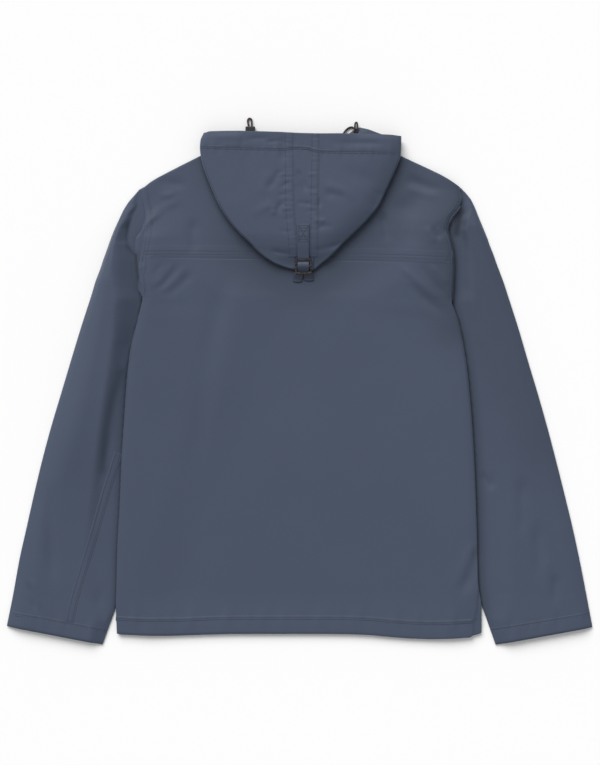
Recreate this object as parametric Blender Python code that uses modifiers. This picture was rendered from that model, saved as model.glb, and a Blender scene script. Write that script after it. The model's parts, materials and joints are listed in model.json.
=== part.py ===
"""Anorak pullover, laid flat on its front with its back up and its hood folded down.

Metres, +Z up. X runs across the back, +Y runs to the neck, and Z = 0 is the surface that
the garment lies on. The tables below are in millimetres, as a cutter would write them.
Every cloth piece is an open sheet of points, thickened to one wall.
"""
import math

import bmesh
import bpy
import numpy as np
from mathutils import Vector

MM = 0.001

# Cloth
WALL = 1.2          # thickness of a cloth wall
PITCH = 2.0         # from the middle of one laid layer to the middle of the next
SEAM = 0.35         # gap between two pieces at a seam
FLOOR_LAYER = WALL / 2
UPPER_LAYER = FLOOR_LAYER + PITCH
FOLD = PITCH / 2    # radius of a fold between two laid layers
SIDE_STEP = 2 * PITCH   # how far the two layers of a sleeve lift the body that lies on them
BACK_CROWN = 1.0    # how far the middle of the back stands above its edges
SLEEVE_CROWN = 2.4  # the same across the part of a sleeve that lies free
BODY_RAMP = 34.0    # width over which the body comes down from a sleeve's edge
CORNER_RAMP = 10.0  # length over which the front comes down at the foot of its armhole

# Cross rows of the back and yoke, from the hem to the tips of the shoulders.
# left x, left y, right x, right y
BODY_ROWS = [
    (-263.5, -360.0, 264.0, -359.0),
    (-267.5, -320.5, 264.0, -320.5),
    (-266.5, -286.0, 258.0, -286.0),
    (-264.5, -238.0, 257.0, -238.0),
    (-260.5, -174.5, 256.0, -174.5),
    (-258.0, -110.5, 254.5, -110.5),
    (-254.5, -46.5, 251.5, -46.5),
    (-250.0, 17.0, 245.0, 17.0),
    (-244.5, 59.0, 237.0, 59.0),
    (-236.5, 94.0, 228.0, 94.0),
    (-226.5, 126.0, 218.0, 123.0),
    (-229.5, 142.0, 221.0, 139.0),
    (-230.0, 158.0, 221.5, 153.5),
    (-228.5, 173.5, 222.0, 166.5),
    (-226.5, 187.0, 222.0, 179.5),
    (-224.0, 200.0, 221.0, 195.5),
    (-222.5, 210.0, 218.0, 210.0),
    (-220.5, 226.0, 213.0, 226.0),
    (-220.0, 242.0, 218.0, 242.0),
    (-222.0, 256.5, 229.5, 256.5),
    (-225.0, 271.0, 235.5, 271.0),
    (-225.5, 288.0, 232.5, 286.0),
]
UNDERARM_ROW = 10
YOKE_ROW = 14

# The front's armhole, a row for each body row from the underarm up.
# left x, left y, right x, right y
FRONT_ARMHOLE = [
    (-112.5, 111.5, 113.5, 111.5),
    (-125.5, 130.0, 126.5, 130.0),
    (-137.0, 147.5, 138.5, 147.5),
    (-149.5, 166.5, 150.5, 165.0),
    (-161.0, 185.5, 162.5, 182.5),
    (-172.0, 202.5, 174.0, 200.0),
    (-179.0, 216.0, 182.5, 214.5),
    (-191.0, 234.5, 194.0, 233.0),
    (-201.5, 250.5, 206.5, 250.5),
    (-210.5, 263.5, 216.5, 263.5),
    (-217.5, 275.0, 225.5, 275.0),
    (-224.5, 286.5, 231.5, 284.5),
]

# The outer edge of a sleeve, a row for each body row from the underarm up.
# left x, left y, right x, right y
SLEEVE_HEAD = [
    (-301.5, 134.5, 300.0, 131.5),
    (-296.0, 152.0, 295.0, 148.5),
    (-289.5, 168.5, 289.5, 163.5),
    (-283.5, 185.5, 284.0, 178.0),
    (-278.5, 199.0, 279.5, 191.0),
    (-273.5, 213.0, 274.5, 203.5),
    (-269.0, 224.5, 270.5, 215.0),
    (-261.5, 241.0, 264.0, 231.0),
    (-254.0, 256.5, 258.0, 245.5),
    (-246.0, 268.5, 253.0, 258.0),
    (-238.5, 277.5, 246.5, 271.0),
    (-232.5, 284.5, 238.5, 280.5),
]

# The outer edge of a sleeve from the underarm down to the cuff.
# y, left x, right x
SLEEVE_EDGE = [
    (131.5, -302.5, 300.0),
    (95.5, -314.0, 312.5),
    (37.5, -331.5, 329.5),
    (-20.5, -349.0, 347.0),
    (-78.5, -366.5, 363.0),
    (-136.5, -381.0, 377.5),
    (-194.5, -394.0, 392.0),
    (-252.5, -407.0, 405.0),
    (-310.5, -417.0, 416.5),
    (-348.5, -424.0, 424.0),
]
CUFF_INNER_Y = (-374.5, -375.0)
CUFF_INNER_X = (-286.5, 285.0)
SLEEVE_RING_FRACTIONS = (0.0, 0.05, 0.16, 0.28, 0.40, 0.52, 0.64, 0.76, 0.88, 0.95, 1.0)

# The tuck that the hanging sleeve makes behind the armhole, from the underarm up.
# left strip, right strip, left overlap, right overlap, drop, turn in degrees, and how much
# wider the inner turn is made, where its fold runs slantwise over the rows
TUCK = [
    (0.5, 0.5, 112.0, 103.0, 4.0, 180.0, 1.0),
    (1.5, 0.8, 85.0, 78.0, 4.0, 180.0, 2.2),
    (3.5, 0.8, 60.0, 56.0, 4.0, 180.0, 1.9),
    (6.5, 0.8, 40.0, 38.0, 4.0, 180.0, 1.7),
    (9.5, 0.8, 27.0, 25.0, 4.0, 180.0, 1.5),
    (13.0, 0.8, 17.0, 15.0, 4.0, 180.0, 1.4),
    (14.0, 0.8, 8.0, 7.0, 4.0, 180.0, 1.3),
    (6.0, 1.0, 0.3, 0.3, 3.0, 90.0, 1.0),
    (2.0, 1.0, 0.3, 0.3, 1.8, 55.0, 1.0),
    (1.0, 1.0, 0.5, 0.5, 0.8, 25.0, 1.0),
    (0.8, 0.8, 0.5, 0.5, 0.3, 12.0, 1.0),
    (0.5, 0.5, 0.5, 0.5, 0.15, 8.0, 1.0),
]

# Shoulders and neck
NECK_HALF = 98.0
NECK_Y = 357.0
NECK_DIP = 38.5
NECK_CURVE = 2.4

# Columns of the body: shares of the strip over a sleeve, distances inward from the sleeve's
# hidden edge, and shares of what lies between
STRIP_SHARES = (0.35, 0.7)
RAMP_PLACES = (-1.0, 2.5, 8.0, 15.0, 23.0, 38.0)
MIDDLE_SHARES = (0.12, 0.238, 0.304, 0.37, 0.50, 0.63, 0.696, 0.762, 0.88)

# One long soft fold down the left of the back
FOLD_LINE_Y = (-165.5, -89.0, -33.5, 20.0, 105.5, 182.5)
FOLD_LINE_X = (-150.0, -157.5, -150.0, -134.0, -122.5, -101.0)
FOLD_DEPTH = 0.8
FOLD_WIDTH = 13.0

# Hood, folded back on the yoke
# y, left edge x, left gusset x, right gusset x, right edge x
HOOD_ROWS = [
    (364.5, -139.0, -17.5, 22.5, 147.5),
    (356.5, -143.5, -17.2, 22.5, 147.3),
    (345.0, -144.5, -16.6, 22.5, 146.5),
    (331.0, -144.0, -15.8, 22.5, 144.5),
    (318.0, -141.0, -15.0, 22.5, 139.5),
    (300.0, -134.5, -14.0, 22.5, 132.0),
    (280.0, -126.5, -12.8, 22.5, 123.5),
    (260.0, -117.0, -11.4, 22.5, 114.5),
    (240.0, -104.0, -10.0, 22.5, 98.5),
    (222.0, -89.5, -8.6, 22.5, 80.0),
    (206.0, -69.0, -7.2, 22.0, 63.0),
    (194.0, -58.5, -6.4, 21.5, 52.5),
    (185.0, -48.5, -6.0, 21.0, 44.5),
    (178.0, -36.5, -5.6, 20.6, 36.0),
    (174.2, -24.5, -5.2, 20.2, 30.0),
]
HOOD_BOTTOM_Y = 167.0
HOOD_LOW_GAP = 3.6      # the hood's lower layer over the yoke, middle to middle
HOOD_NECK_GAP = 2.4     # the same beside the neck
HOOD_THICK = 5.4        # the hood's lower layer to its upper layer, middle to middle
HOOD_END_FALL = 3.2     # how far its upper layer falls to the folded end
HOOD_RIM_Z = 5.2        # the rim's height over the neck
HOOD_FOLD_WIDTH = 4.0   # half width of the rounded fold along its edge
HOOD_LOW_SHARES = (0.0, 0.09, 0.177, 0.22, 0.32, 0.386, 0.401, 0.59, 0.8, 1.0)
THROAT_RAMP = 11.0      # where the hood goes down through the neck
# Where the throat's rim stands out past the upper rim
# x, how far
THROAT_RIM = [(86.8, 0.0), (88.1, 15.2), (97.0, 13.2), (111.0, 10.6), (116.0, 7.4), (127.0, 3.6),
              (136.0, 0.0)]

# Strap, slider and strap end
STRAP_WALL = 1.4
STRAP_GAP = 0.35
STRAP_TOP_Y = 233.5
STRAP_HALF = 9.0
STRAP_X = 5.5
SLIDER_HALF_WIDTH = 12.2
SLIDER_HALF_LENGTH = 10.6
SLIDER_BAR = 2.5
SLIDER_THICK = 2.2
SLIDER_BOW = 1.6
SLIDER_Y = 173.5
SLIDER_Z = 14.3
SLIDER_TILT = 17.0      # degrees, down towards the hem
TAIL_LENGTH = 14.5
# How the strap runs through the slider: place along it, height over its middle plane
STRAP_WEAVE = [(12.6, -2.3), (9.4, -2.2), (7.9, -2.0), (5.0, -0.1), (2.4, 1.9), (0.3, 2.3),
               (-1.8, 1.9), (-4.6, -0.1), (-7.6, -2.05), (-9.4, -2.3), (-12.6, -2.5)]

# Drawcord
CORD_RADIUS = 1.35
STOPPER_SIZE = (14.0, 7.5, 5.6)
STOPPER_SLOT = (8.0, 3.3)
STOPPER_PLACE = (-71.5, 372.6, 3.2)
# Route of each cord's free end, x, y, z
CORD_LEFT_ROUTE = [
    (-73.6, 362.5, 2.95), (-73.7, 364.5, 2.95), (-73.8, 367.0, 3.1), (-73.8, 372.0, 3.2),
    (-73.9, 377.0, 3.2), (-74.8, 381.0, 2.7), (-75.2, 384.6, 2.0), (-74.3, 387.4, 1.6),
    (-72.0, 388.2, 1.6), (-69.9, 386.4, 1.7), (-69.4, 382.4, 2.3), (-69.4, 378.0, 3.1),
    (-69.4, 372.0, 3.2), (-69.4, 367.0, 3.1), (-69.3, 364.5, 2.95), (-69.2, 362.5, 2.95),
]
CORD_RIGHT_ROUTE = [
    (61.8, 361.6, 2.95), (62.4, 363.2, 2.95), (63.2, 365.2, 2.9), (65.6, 369.0, 2.2),
    (68.6, 372.4, 1.6), (72.4, 375.0, 1.55), (76.4, 375.4, 1.55), (79.6, 373.6, 1.55),
    (82.4, 371.8, 1.55),
]
CORD_KNOT_ROUTE = [
    (78.5, 362.0, 2.95), (78.7, 364.0, 2.95), (79.2, 367.0, 3.05), (80.0, 371.0, 4.4),
    (80.3, 376.0, 4.5), (80.8, 380.4, 4.4), (82.3, 382.2, 4.4), (83.6, 380.2, 4.4),
    (83.8, 375.6, 4.5), (83.9, 371.0, 4.4), (83.2, 367.0, 3.05), (82.9, 364.0, 2.95),
    (82.8, 362.5, 2.95),
]

SLATE = (0.075, 0.090, 0.130)
SLATE_DARK = (0.068, 0.082, 0.120)
BRONZE = (0.055, 0.048, 0.042)
CORD_BROWN = (0.095, 0.087, 0.086)
STOPPER_BLACK = (0.020, 0.020, 0.023)


def ease(value):
    """0 below 0, 1 above 1 and a smooth step between."""
    t = min(max(value, 0.0), 1.0)
    return t * t * (3 - 2 * t)


def blend(first, second, weight):
    return first + (second - first) * weight


def column(rows, index):
    return [row[index] for row in rows]


# ---------------------------------------------------------------- heights

def inner_edge(side, y):
    """x of the sleeve's inner edge, which the body hides; side is 0 left, 1 right."""
    start_x = FRONT_ARMHOLE[0][2 * side]
    start_y = FRONT_ARMHOLE[0][1]
    if y <= start_y:
        run = (CUFF_INNER_X[side] - start_x) / (CUFF_INNER_Y[side] - start_y)
        return start_x + run * (y - start_y)
    outward = (-1, 1)[side]
    levels = [start_y]
    edges = [start_x]
    for row, tuck in list(zip(BODY_ROWS[UNDERARM_ROW:], TUCK))[1:]:
        levels.append(row[2 * side + 1] - 0.125 * tuck[2 + side])
        edges.append(row[2 * side] + outward * (tuck[side] + FOLD - tuck[2 + side] - 2 * FOLD))
    return float(np.interp(y, levels, edges))


def lift(x, y):
    """How far the sleeves lift the body at a point, from 0 to 1."""
    levels = [BODY_ROWS[UNDERARM_ROW + i][1] for i in range(len(TUCK))]
    strength = float(np.interp(y, levels, [row[4] for row in TUCK])) / TUCK[0][4]
    left = 1 - ease((x - carried_edge(0, y) - 2.5) / BODY_RAMP)
    right = 1 - ease((carried_edge(1, y) - x - 2.5) / BODY_RAMP)
    return strength * max(left, right)


def carried_edge(side, y):
    """The sleeve edge that carries the body; it lags a little above the underarm."""
    foot = FRONT_ARMHOLE[0][1]
    if y > foot:
        y = max(foot, y - CORNER_RAMP - 5)
    return inner_edge(side, y)


def back_height(x, y):
    """Middle of the back's and the yoke's wall."""
    raised = lift(x, y)
    crown = BACK_CROWN * ease((1 - raised) * 1.0) * ease(1.4 - abs(x) / 190)
    crown *= ease((y + 345) / 60) * ease((300 - y) / 90)
    fold_x = float(np.interp(y, FOLD_LINE_Y, FOLD_LINE_X))
    ends = ease((y - FOLD_LINE_Y[0]) / 50) * ease((FOLD_LINE_Y[-1] - y) / 40)
    trough = FOLD_DEPTH * ends * math.exp(-((x - fold_x) / FOLD_WIDTH) ** 2)
    return UPPER_LAYER + SIDE_STEP * raised + crown - trough * (1 - 0.8 * raised)


def front_height(x, y):
    """Middle of the front's wall; above the underarm it lies on the floor."""
    below = ease((FRONT_ARMHOLE[0][1] + CORNER_RAMP - y) / CORNER_RAMP)
    return FLOOR_LAYER + SIDE_STEP * lift(x, y) * below


# ---------------------------------------------------------------- body

def row_ends(row):
    return BODY_ROWS[row][:2], BODY_ROWS[row][2:]


def columns_between(left, right, y):
    """x of the body's columns on one row, which follow the sleeves' hidden edges."""
    left_in = max(carried_edge(0, y), left + 5)
    right_in = min(carried_edge(1, y), right - 5)
    first = [blend(left, left_in, share) for share in STRIP_SHARES]
    first += [left_in + place for place in RAMP_PLACES]
    last = [blend(right, right_in, share) for share in STRIP_SHARES]
    last += [right_in - place for place in RAMP_PLACES]
    middle = [blend(first[-1], last[-1], share) for share in MIDDLE_SHARES]
    return first + middle + last[::-1]


EDGE_TURN = [   # inward distance, fall, from the rim to where the wall is flat
    (0.0, FOLD - SEAM / 2),
    (0.0, 0.7),
    (0.7 * (1 - math.sin(math.pi / 4)), 0.7 * (1 - math.cos(math.pi / 4))),
    (0.7, 0.0),
]
EDGE_PLAIN = [(0.0, 0.0), (0.3, 0.0), (0.6, 0.0), (1.0, 0.0)]


def edge_points(edge, inward, height, downward, turned):
    """Four points from a panel's edge inward; a turned edge, from 0 to 1, curls to meet
    the edge of the panel on its other side."""
    x, y = edge
    start = blend(SEAM / 2, WALL / 2, turned)
    points = []
    for (turned_in, fall), (plain_in, flat) in zip(EDGE_TURN, EDGE_PLAIN):
        away = start + blend(plain_in, turned_in, turned)
        px = x + inward[0] * away
        py = y + inward[1] * away
        points.append((px, py, height(px, py) - downward * fall * turned ** 3))
    return points


def side_turn(row):
    """How far the side edges curl over on one row: not at all along the armholes."""
    return {UNDERARM_ROW - 1: 0.8, UNDERARM_ROW: 0.45}.get(row, float(row < UNDERARM_ROW))


def body_row(row, height, downward, shift=0.0):
    turned = side_turn(row)
    (left_x, left_y), (right_x, right_y) = row_ends(row)
    points = edge_points((left_x, left_y + shift), (1, 0), height, downward, turned)
    for x in columns_between(left_x, right_x, (left_y + right_y) / 2):
        y = blend(left_y, right_y, (x - left_x) / (right_x - left_x)) + shift
        points.append((x, y, height(x, y)))
    points += edge_points((right_x, right_y + shift), (-1, 0), height, downward, turned)[::-1]
    return points


def neck_edge(x):
    """y of the body's top edge: the shoulders, and the neck between them."""
    if abs(x) < NECK_HALF:
        return NECK_Y - NECK_DIP * (1 - (abs(x) / NECK_HALF) ** NECK_CURVE)
    (left_x, left_y), (right_x, right_y) = row_ends(-1)
    tip = (left_x, left_y)
    if x > 0:
        tip = (right_x, right_y)
    return float(np.interp(abs(x), (NECK_HALF, abs(tip[0])), (NECK_Y, tip[1])))


def shoulder_inward(x):
    """Unit direction from the shoulder's edge into the panel, in plan."""
    (left_x, left_y), (right_x, right_y) = row_ends(-1)
    tip_x, tip_y = (left_x, left_y)
    if x > 0:
        tip_x, tip_y = (right_x, right_y)
    along = Vector((tip_x - math.copysign(NECK_HALF, x), tip_y - NECK_Y)).normalized()
    return (along.y, -along.x) if x > 0 else (-along.y, along.x)


def top_rows(xs, height, downward):
    """The rows along the shoulders, which turn over their edge, and along the open neck."""
    rows = [[], [], [], []]
    for x in xs:
        if abs(abs(x) - NECK_HALF) < 10:
            x = math.copysign(NECK_HALF, x)
        edge = (x, neck_edge(x))
        if abs(x) <= NECK_HALF + 1:
            points = edge_points(edge, (0, -1), height, downward, 0.0)
        else:
            turned = min(1.0, 0.5 + (abs(x) - NECK_HALF) / 170)
            points = edge_points(edge, shoulder_inward(x), height, downward, turned)
        for line, point in zip(rows, points):
            line.append(point)
    return rows[::-1]


def make_back():
    rows = [body_row(row, back_height, 1) for row in range(YOKE_ROW)]
    rows.append(body_row(YOKE_ROW, back_height, 1, -SEAM / 2))
    cloth("back_panel", [rows], SLATE)


def make_yoke():
    seam = body_row(YOKE_ROW, back_height, 1, SEAM / 2)
    rows = [seam]
    last = len(BODY_ROWS) - 1
    for row in range(YOKE_ROW + 1, last):
        (left_x, left_y), (right_x, right_y) = row_ends(row)
        flat = body_row(row, back_height, 1)
        share_left = (left_y - BODY_ROWS[YOKE_ROW][1]) / (BODY_ROWS[last][1] - BODY_ROWS[YOKE_ROW][1])
        points = []
        for (x, y, z), (seam_x, seam_y, seam_z) in zip(flat, seam):
            inside = min(x - left_x, right_x - x)
            top = neck_edge(x) - 2.0
            stretched = seam_y + (top - seam_y) * share_left
            y = blend(y, stretched, ease(inside / 25))
            points.append((x, y, back_height(x, y)))
        rows.append(points)
    xs = [x for x, y, z in body_row(last, back_height, 1)]
    rows += top_rows(xs, back_height, 1)
    cloth("back_yoke", [rows], SLATE)


def underarm_row():
    """The front's row below its armholes: each strip ends along the foot of the tuck."""
    (left_x, left_y), (right_x, right_y) = row_ends(UNDERARM_ROW)
    foot_y = FRONT_ARMHOLE[0][1] - SEAM
    left_in, right_in = FRONT_ARMHOLE[0][0], FRONT_ARMHOLE[0][2]

    def edge_y(x):
        if x < left_in:
            return blend(foot_y, left_y - SEAM, (left_in - x) / (left_in - left_x))
        if x > right_in:
            return blend(foot_y, right_y - SEAM, (x - right_in) / (right_x - right_in))
        return foot_y

    def carried(x, y):
        return FLOOR_LAYER + SIDE_STEP * lift(x, foot_y)

    return [(x, edge_y(x), z) for x, y, z in body_row(UNDERARM_ROW, carried, -1)]


def front_middle(left, right):
    """Columns of the front between its two armholes."""
    inset = RAMP_PLACES[1:]
    inner = [blend(left + inset[-1], right - inset[-1], share) for share in MIDDLE_SHARES]
    return [left + d for d in inset] + inner + [right - d for d in reversed(inset)]


def make_front():
    lower = [body_row(row, front_height, -1) for row in range(UNDERARM_ROW)]
    lower.append(underarm_row())
    beside = len(EDGE_PLAIN) + len(STRIP_SHARES) + 1
    upper = [lower[-1][beside:-beside]]
    start = FRONT_ARMHOLE[0][1]
    for left_x, left_y, right_x, right_y in FRONT_ARMHOLE[1:-1]:
        share = (left_y - start) / (FRONT_ARMHOLE[-1][1] - start)
        points = []
        for x in front_middle(left_x + SEAM - RAMP_PLACES[1], right_x - SEAM + RAMP_PLACES[1]):
            edge_y = blend(left_y, right_y, (x - left_x) / (right_x - left_x))
            stretched = blend(start, neck_edge(x) - 2.0, share)
            y = blend(edge_y, stretched, ease(min(x - left_x, right_x - x) / 25))
            points.append((x, y, front_height(x, y)))
        upper.append(points)
    xs = [x for x, y, z in body_row(len(BODY_ROWS) - 1, front_height, -1)][beside:-beside]
    xs[0] = FRONT_ARMHOLE[-1][0] + SEAM
    xs[-1] = FRONT_ARMHOLE[-1][2] - SEAM
    upper += top_rows(xs, front_height, -1)
    cloth("front_panel", [lower, upper], SLATE_DARK)


# ---------------------------------------------------------------- sleeves

def tuck_points(strip, overlap, drop, turn, spread):
    """Profile of the tuck, distance outward and height over the sleeve's upper layer.

    The cloth runs out from the armhole seam, turns down and back under itself by the
    overlap, and turns out again at the level of the sleeve."""
    angle = math.radians(turn)
    radius = (drop - overlap * math.sin(angle)) / (2 * (1 - math.cos(angle)))
    steps = 4
    first = []
    for step in range(steps + 1):
        part = angle * step / steps
        first.append((radius * math.sin(part), drop - radius * (1 - math.cos(part))))
    end_x = 2 * radius * math.sin(angle) + overlap * math.cos(angle)
    end_x += (spread - 1) * radius
    second = [(end_x - x * spread, drop - z) for x, z in reversed(first)]
    run = [(blend(first[-1][0], second[0][0], part), blend(first[-1][1], second[0][1], part))
           for part in (0.33, 0.67)]
    profile = [(0.0, drop)] + [(strip + x, z) for x, z in first + run + second]
    return profile


def sleeve_rows(side):
    """Shared points of every row: the upper layer, the outer fold and the lower layer."""
    outward = (-1, 1)[side]
    rows = []
    for step in range(UNDERARM_ROW + 1):
        share = step / UNDERARM_ROW
        inner_y = blend(CUFF_INNER_Y[side], FRONT_ARMHOLE[0][1], share)
        inner = (inner_edge(side, inner_y), inner_y)
        levels = column(SLEEVE_EDGE, 0)[::-1]
        outer_y = blend(SLEEVE_EDGE[-1][0], SLEEVE_HEAD[0][2 * side + 1], share)
        outer_x = float(np.interp(outer_y, levels, column(SLEEVE_EDGE, 1 + side)[::-1]))
        if step == UNDERARM_ROW:
            outer_x = SLEEVE_HEAD[0][2 * side]
        rows.append((inner, (outer_x, outer_y), inner))
    for head, body, armhole in list(zip(SLEEVE_HEAD, BODY_ROWS[UNDERARM_ROW:], FRONT_ARMHOLE))[1:]:
        seam = (body[2 * side], body[2 * side + 1])
        under = (armhole[2 * side] + outward * SEAM * 0.7, armhole[2 * side + 1])
        rows.append((seam, (head[2 * side], head[2 * side + 1]), under))
    return rows


def body_edge(side, y):
    """x of the body's visible edge over a sleeve."""
    levels = [row[2 * side + 1] for row in BODY_ROWS[:UNDERARM_ROW + 1]]
    edges = [row[2 * side] for row in BODY_ROWS[:UNDERARM_ROW + 1]]
    for row, tuck in list(zip(BODY_ROWS[UNDERARM_ROW:], TUCK))[1:]:
        levels.append(row[2 * side + 1])
        edges.append(row[2 * side] + (-1, 1)[side] * (tuck[side] + FOLD))
    return float(np.interp(y, levels, edges))


def sleeve_crown(side, x, y, outer_x):
    edge = body_edge(side, y)
    if y < BODY_ROWS[0][1]:
        edge = CUFF_INNER_X[side]
    width = abs(outer_x - edge)
    share = (x - edge) / (outer_x - edge)
    if share <= 0 or share >= 1:
        return 0.0
    return SLEEVE_CROWN * min(1.0, width / 60) * 4 * share * (1 - share)


def sleeve_ring(side, upper_start, outer, under, start_drop=0.0):
    """Upper layer from its inner end out to the fold, round it, and the lower layer back."""
    ox, oy = outer
    inset = WALL / 2 + FOLD
    direction = Vector((ox - upper_start[0], oy - upper_start[1]))
    length = direction.length
    direction.normalize()
    turn_x, turn_y = ox - direction.x * inset, oy - direction.y * inset
    points = []
    for share in SLEEVE_RING_FRACTIONS:
        x = blend(upper_start[0], turn_x, share)
        y = blend(upper_start[1], turn_y, share)
        crown = sleeve_crown(side, x, y, turn_x)
        points.append((x, y, UPPER_LAYER + crown))
    for part in (45, 90, 135):
        angle = math.radians(part)
        x = turn_x + direction.x * FOLD * math.sin(angle)
        y = turn_y + direction.y * FOLD * math.sin(angle)
        points.append((x, y, UPPER_LAYER - FOLD * (1 - math.cos(angle))))
    for share in (0.0, 0.12, 0.34, 0.56, 0.78, 1.0):
        x = blend(turn_x, under[0], share)
        y = blend(turn_y, under[1], share)
        points.append((x, y, FLOOR_LAYER))
    return points


def make_sleeve(side, name):
    outward = (-1, 1)[side]
    shared = []
    closing = []
    head = []
    for index, (inner, outer, under) in enumerate(sleeve_rows(side)):
        along = Vector((outer[0] - inner[0], outer[1] - inner[1])).normalized()
        level = index - UNDERARM_ROW
        if level <= 0:
            start = (inner[0] + along.x * FOLD, inner[1] + along.y * FOLD)
            ring = sleeve_ring(side, start, outer, start)
            shared.append(ring)
            arc = [ring[-1]]
            for part in (135, 90, 45):
                angle = math.radians(part)
                arc.append((start[0] - along.x * FOLD * math.sin(angle),
                            start[1] - along.y * FOLD * math.sin(angle),
                            FLOOR_LAYER + FOLD * (1 + math.cos(angle))))
            arc.append(ring[0])
            closing.append(arc)
        if level >= 0:
            strip, overlap, drop, turn, spread = tuck_row(side, level)
            seam = BODY_ROWS[UNDERARM_ROW + level][2 * side:2 * side + 2]
            seam = (seam[0] + outward * SEAM / 2, seam[1])
            if level == 0:
                along = Vector((outer[0] - seam[0], outer[1] - seam[1])).normalized()
                reach = Vector((inner[0] + along.x * FOLD - seam[0],
                                inner[1] + along.y * FOLD - seam[1]))
                overlap = strip - reach.dot(along) + (spread - 1) * FOLD
            profile = tuck_points(strip, overlap, drop, turn, spread)
            points = [(seam[0] + along.x * d, seam[1] + along.y * d, UPPER_LAYER + h)
                      for d, h in profile]
            if level == 0:
                points[-1] = shared[-1][0]
            else:
                shared.append(sleeve_ring(side, points[-1][:2], outer, under))
                points[-1] = shared[-1][0]
            head.append(points)
    cloth(name, [shared, closing, head], SLATE)


def tuck_row(side, level):
    left_strip, right_strip, left_overlap, right_overlap, drop, turn, spread = TUCK[level]
    if side == 0:
        return left_strip, left_overlap, drop, turn, spread
    return right_strip, right_overlap, drop, turn, spread


# ---------------------------------------------------------------- hood

def hood_low_height(x, y):
    """Middle of the hood's lower layer: over the yoke, and down through the open neck."""
    near_neck = ease((HOOD_ROWS[4][0] + 8 - y) / 34)
    over_yoke = back_height(x, min(y, 330.0)) + blend(HOOD_NECK_GAP, HOOD_LOW_GAP, near_neck)
    rim = ease((y - 352) / 14)
    over_yoke = blend(over_yoke, UPPER_LAYER + 0.2, rim)
    inside = 0.0
    if abs(x) < NECK_HALF + 12:
        depth = y - neck_edge(min(max(x, -NECK_HALF), NECK_HALF))
        side_depth = (NECK_HALF - abs(x)) * 0.8 + 4
        inside = ease((min(depth, side_depth) - 18.0) / THROAT_RAMP)
        inside = max(inside, ease((y - 357) / 5) * ease((NECK_HALF - 2 - abs(x)) / 8))
    return blend(over_yoke, FLOOR_LAYER, inside)


def hood_top_height(x, y):
    """Middle of the hood's upper layer, lowest at the rim over the neck."""
    full = UPPER_LAYER + BACK_CROWN + HOOD_LOW_GAP + HOOD_THICK + 0.6
    full -= HOOD_END_FALL * ease((200 - y) / 30)
    low = hood_side_low(y) + 4.0
    middle = blend(full, HOOD_RIM_Z, ease((y - 300) / 60))
    side = blend(full, low, ease((y - 292) / 45))
    return blend(middle, side, ease((abs(x) - 74) / 20))


def hood_side_low(y):
    """Height of the lower layer at the hood's outer fold."""
    near_neck = ease((HOOD_ROWS[4][0] + 8 - y) / 34)
    low = UPPER_LAYER + blend(HOOD_NECK_GAP, HOOD_LOW_GAP, near_neck)
    return blend(low, UPPER_LAYER + 0.2, ease((y - 352) / 14))


def rim_y(x):
    """y of the hood's upper rim."""
    return float(np.interp(x, (-144.0, -134.0, -34.0, 6.5, 63.0, 148.0),
                           (356.5, 367.5, 368.0, 365.0, 365.0, 361.5)))


def throat_rim(x):
    return float(np.interp(x, column(THROAT_RIM, 0), column(THROAT_RIM, 1)))


def rim_shift(x, row, low):
    """How far a point of the hood's first rows moves so that the rim takes its shape."""
    fade = (1.0, 0.55, 0.2, 0.0)[min(row, 3)]
    shape = rim_y(x) - HOOD_ROWS[0][0] - WALL / 2
    if abs(x) > 138:
        shape = min(shape, 0.0)
    if low:
        shape = min(shape, 0.0) - 3.4 + throat_rim(x)
    return shape * fade


def make_hood_side(side, name):
    outward = (-1, 1)[side]
    rows = []
    for index, row in enumerate(HOOD_ROWS):
        y, left_edge, left_gusset, right_gusset, right_edge = row
        edge = (left_edge, right_edge)[side]
        gusset = (left_gusset, right_gusset)[side] + outward * SEAM / 2
        width = abs(edge - gusset)
        round_width = min(HOOD_FOLD_WIDTH, width * 0.45)
        turn = edge - outward * (WALL / 2 + round_width)
        low_z = hood_low_height(turn, y)
        top_z = hood_top_height(turn, y)
        radius = (top_z - low_z) / 2
        points = []
        for share in (0.0, 0.14, 0.28, 0.42, 0.56, 0.7, 0.85, 1.0):
            x = blend(gusset, turn, share)
            z = hood_top_height(x, y)
            points.append((x, y + rim_shift(x, index, False), z))
        for part in (36, 72, 108, 144):
            angle = math.radians(part)
            x = turn + outward * round_width * math.sin(angle)
            z = top_z - radius * (1 - math.cos(angle))
            points.append((x, y + rim_shift(turn, index, part > 90), z))
        meet = gusset
        if y > neck_edge(0) - 1.5:
            meet = 2.5 + outward * SEAM / 2
        for share in HOOD_LOW_SHARES:
            x = blend(turn, meet, share)
            z = hood_low_height(x, y)
            points.append((x, y + rim_shift(x, index, True), z))
        rows.append(points)
    cloth(name, [rows], SLATE)


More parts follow.
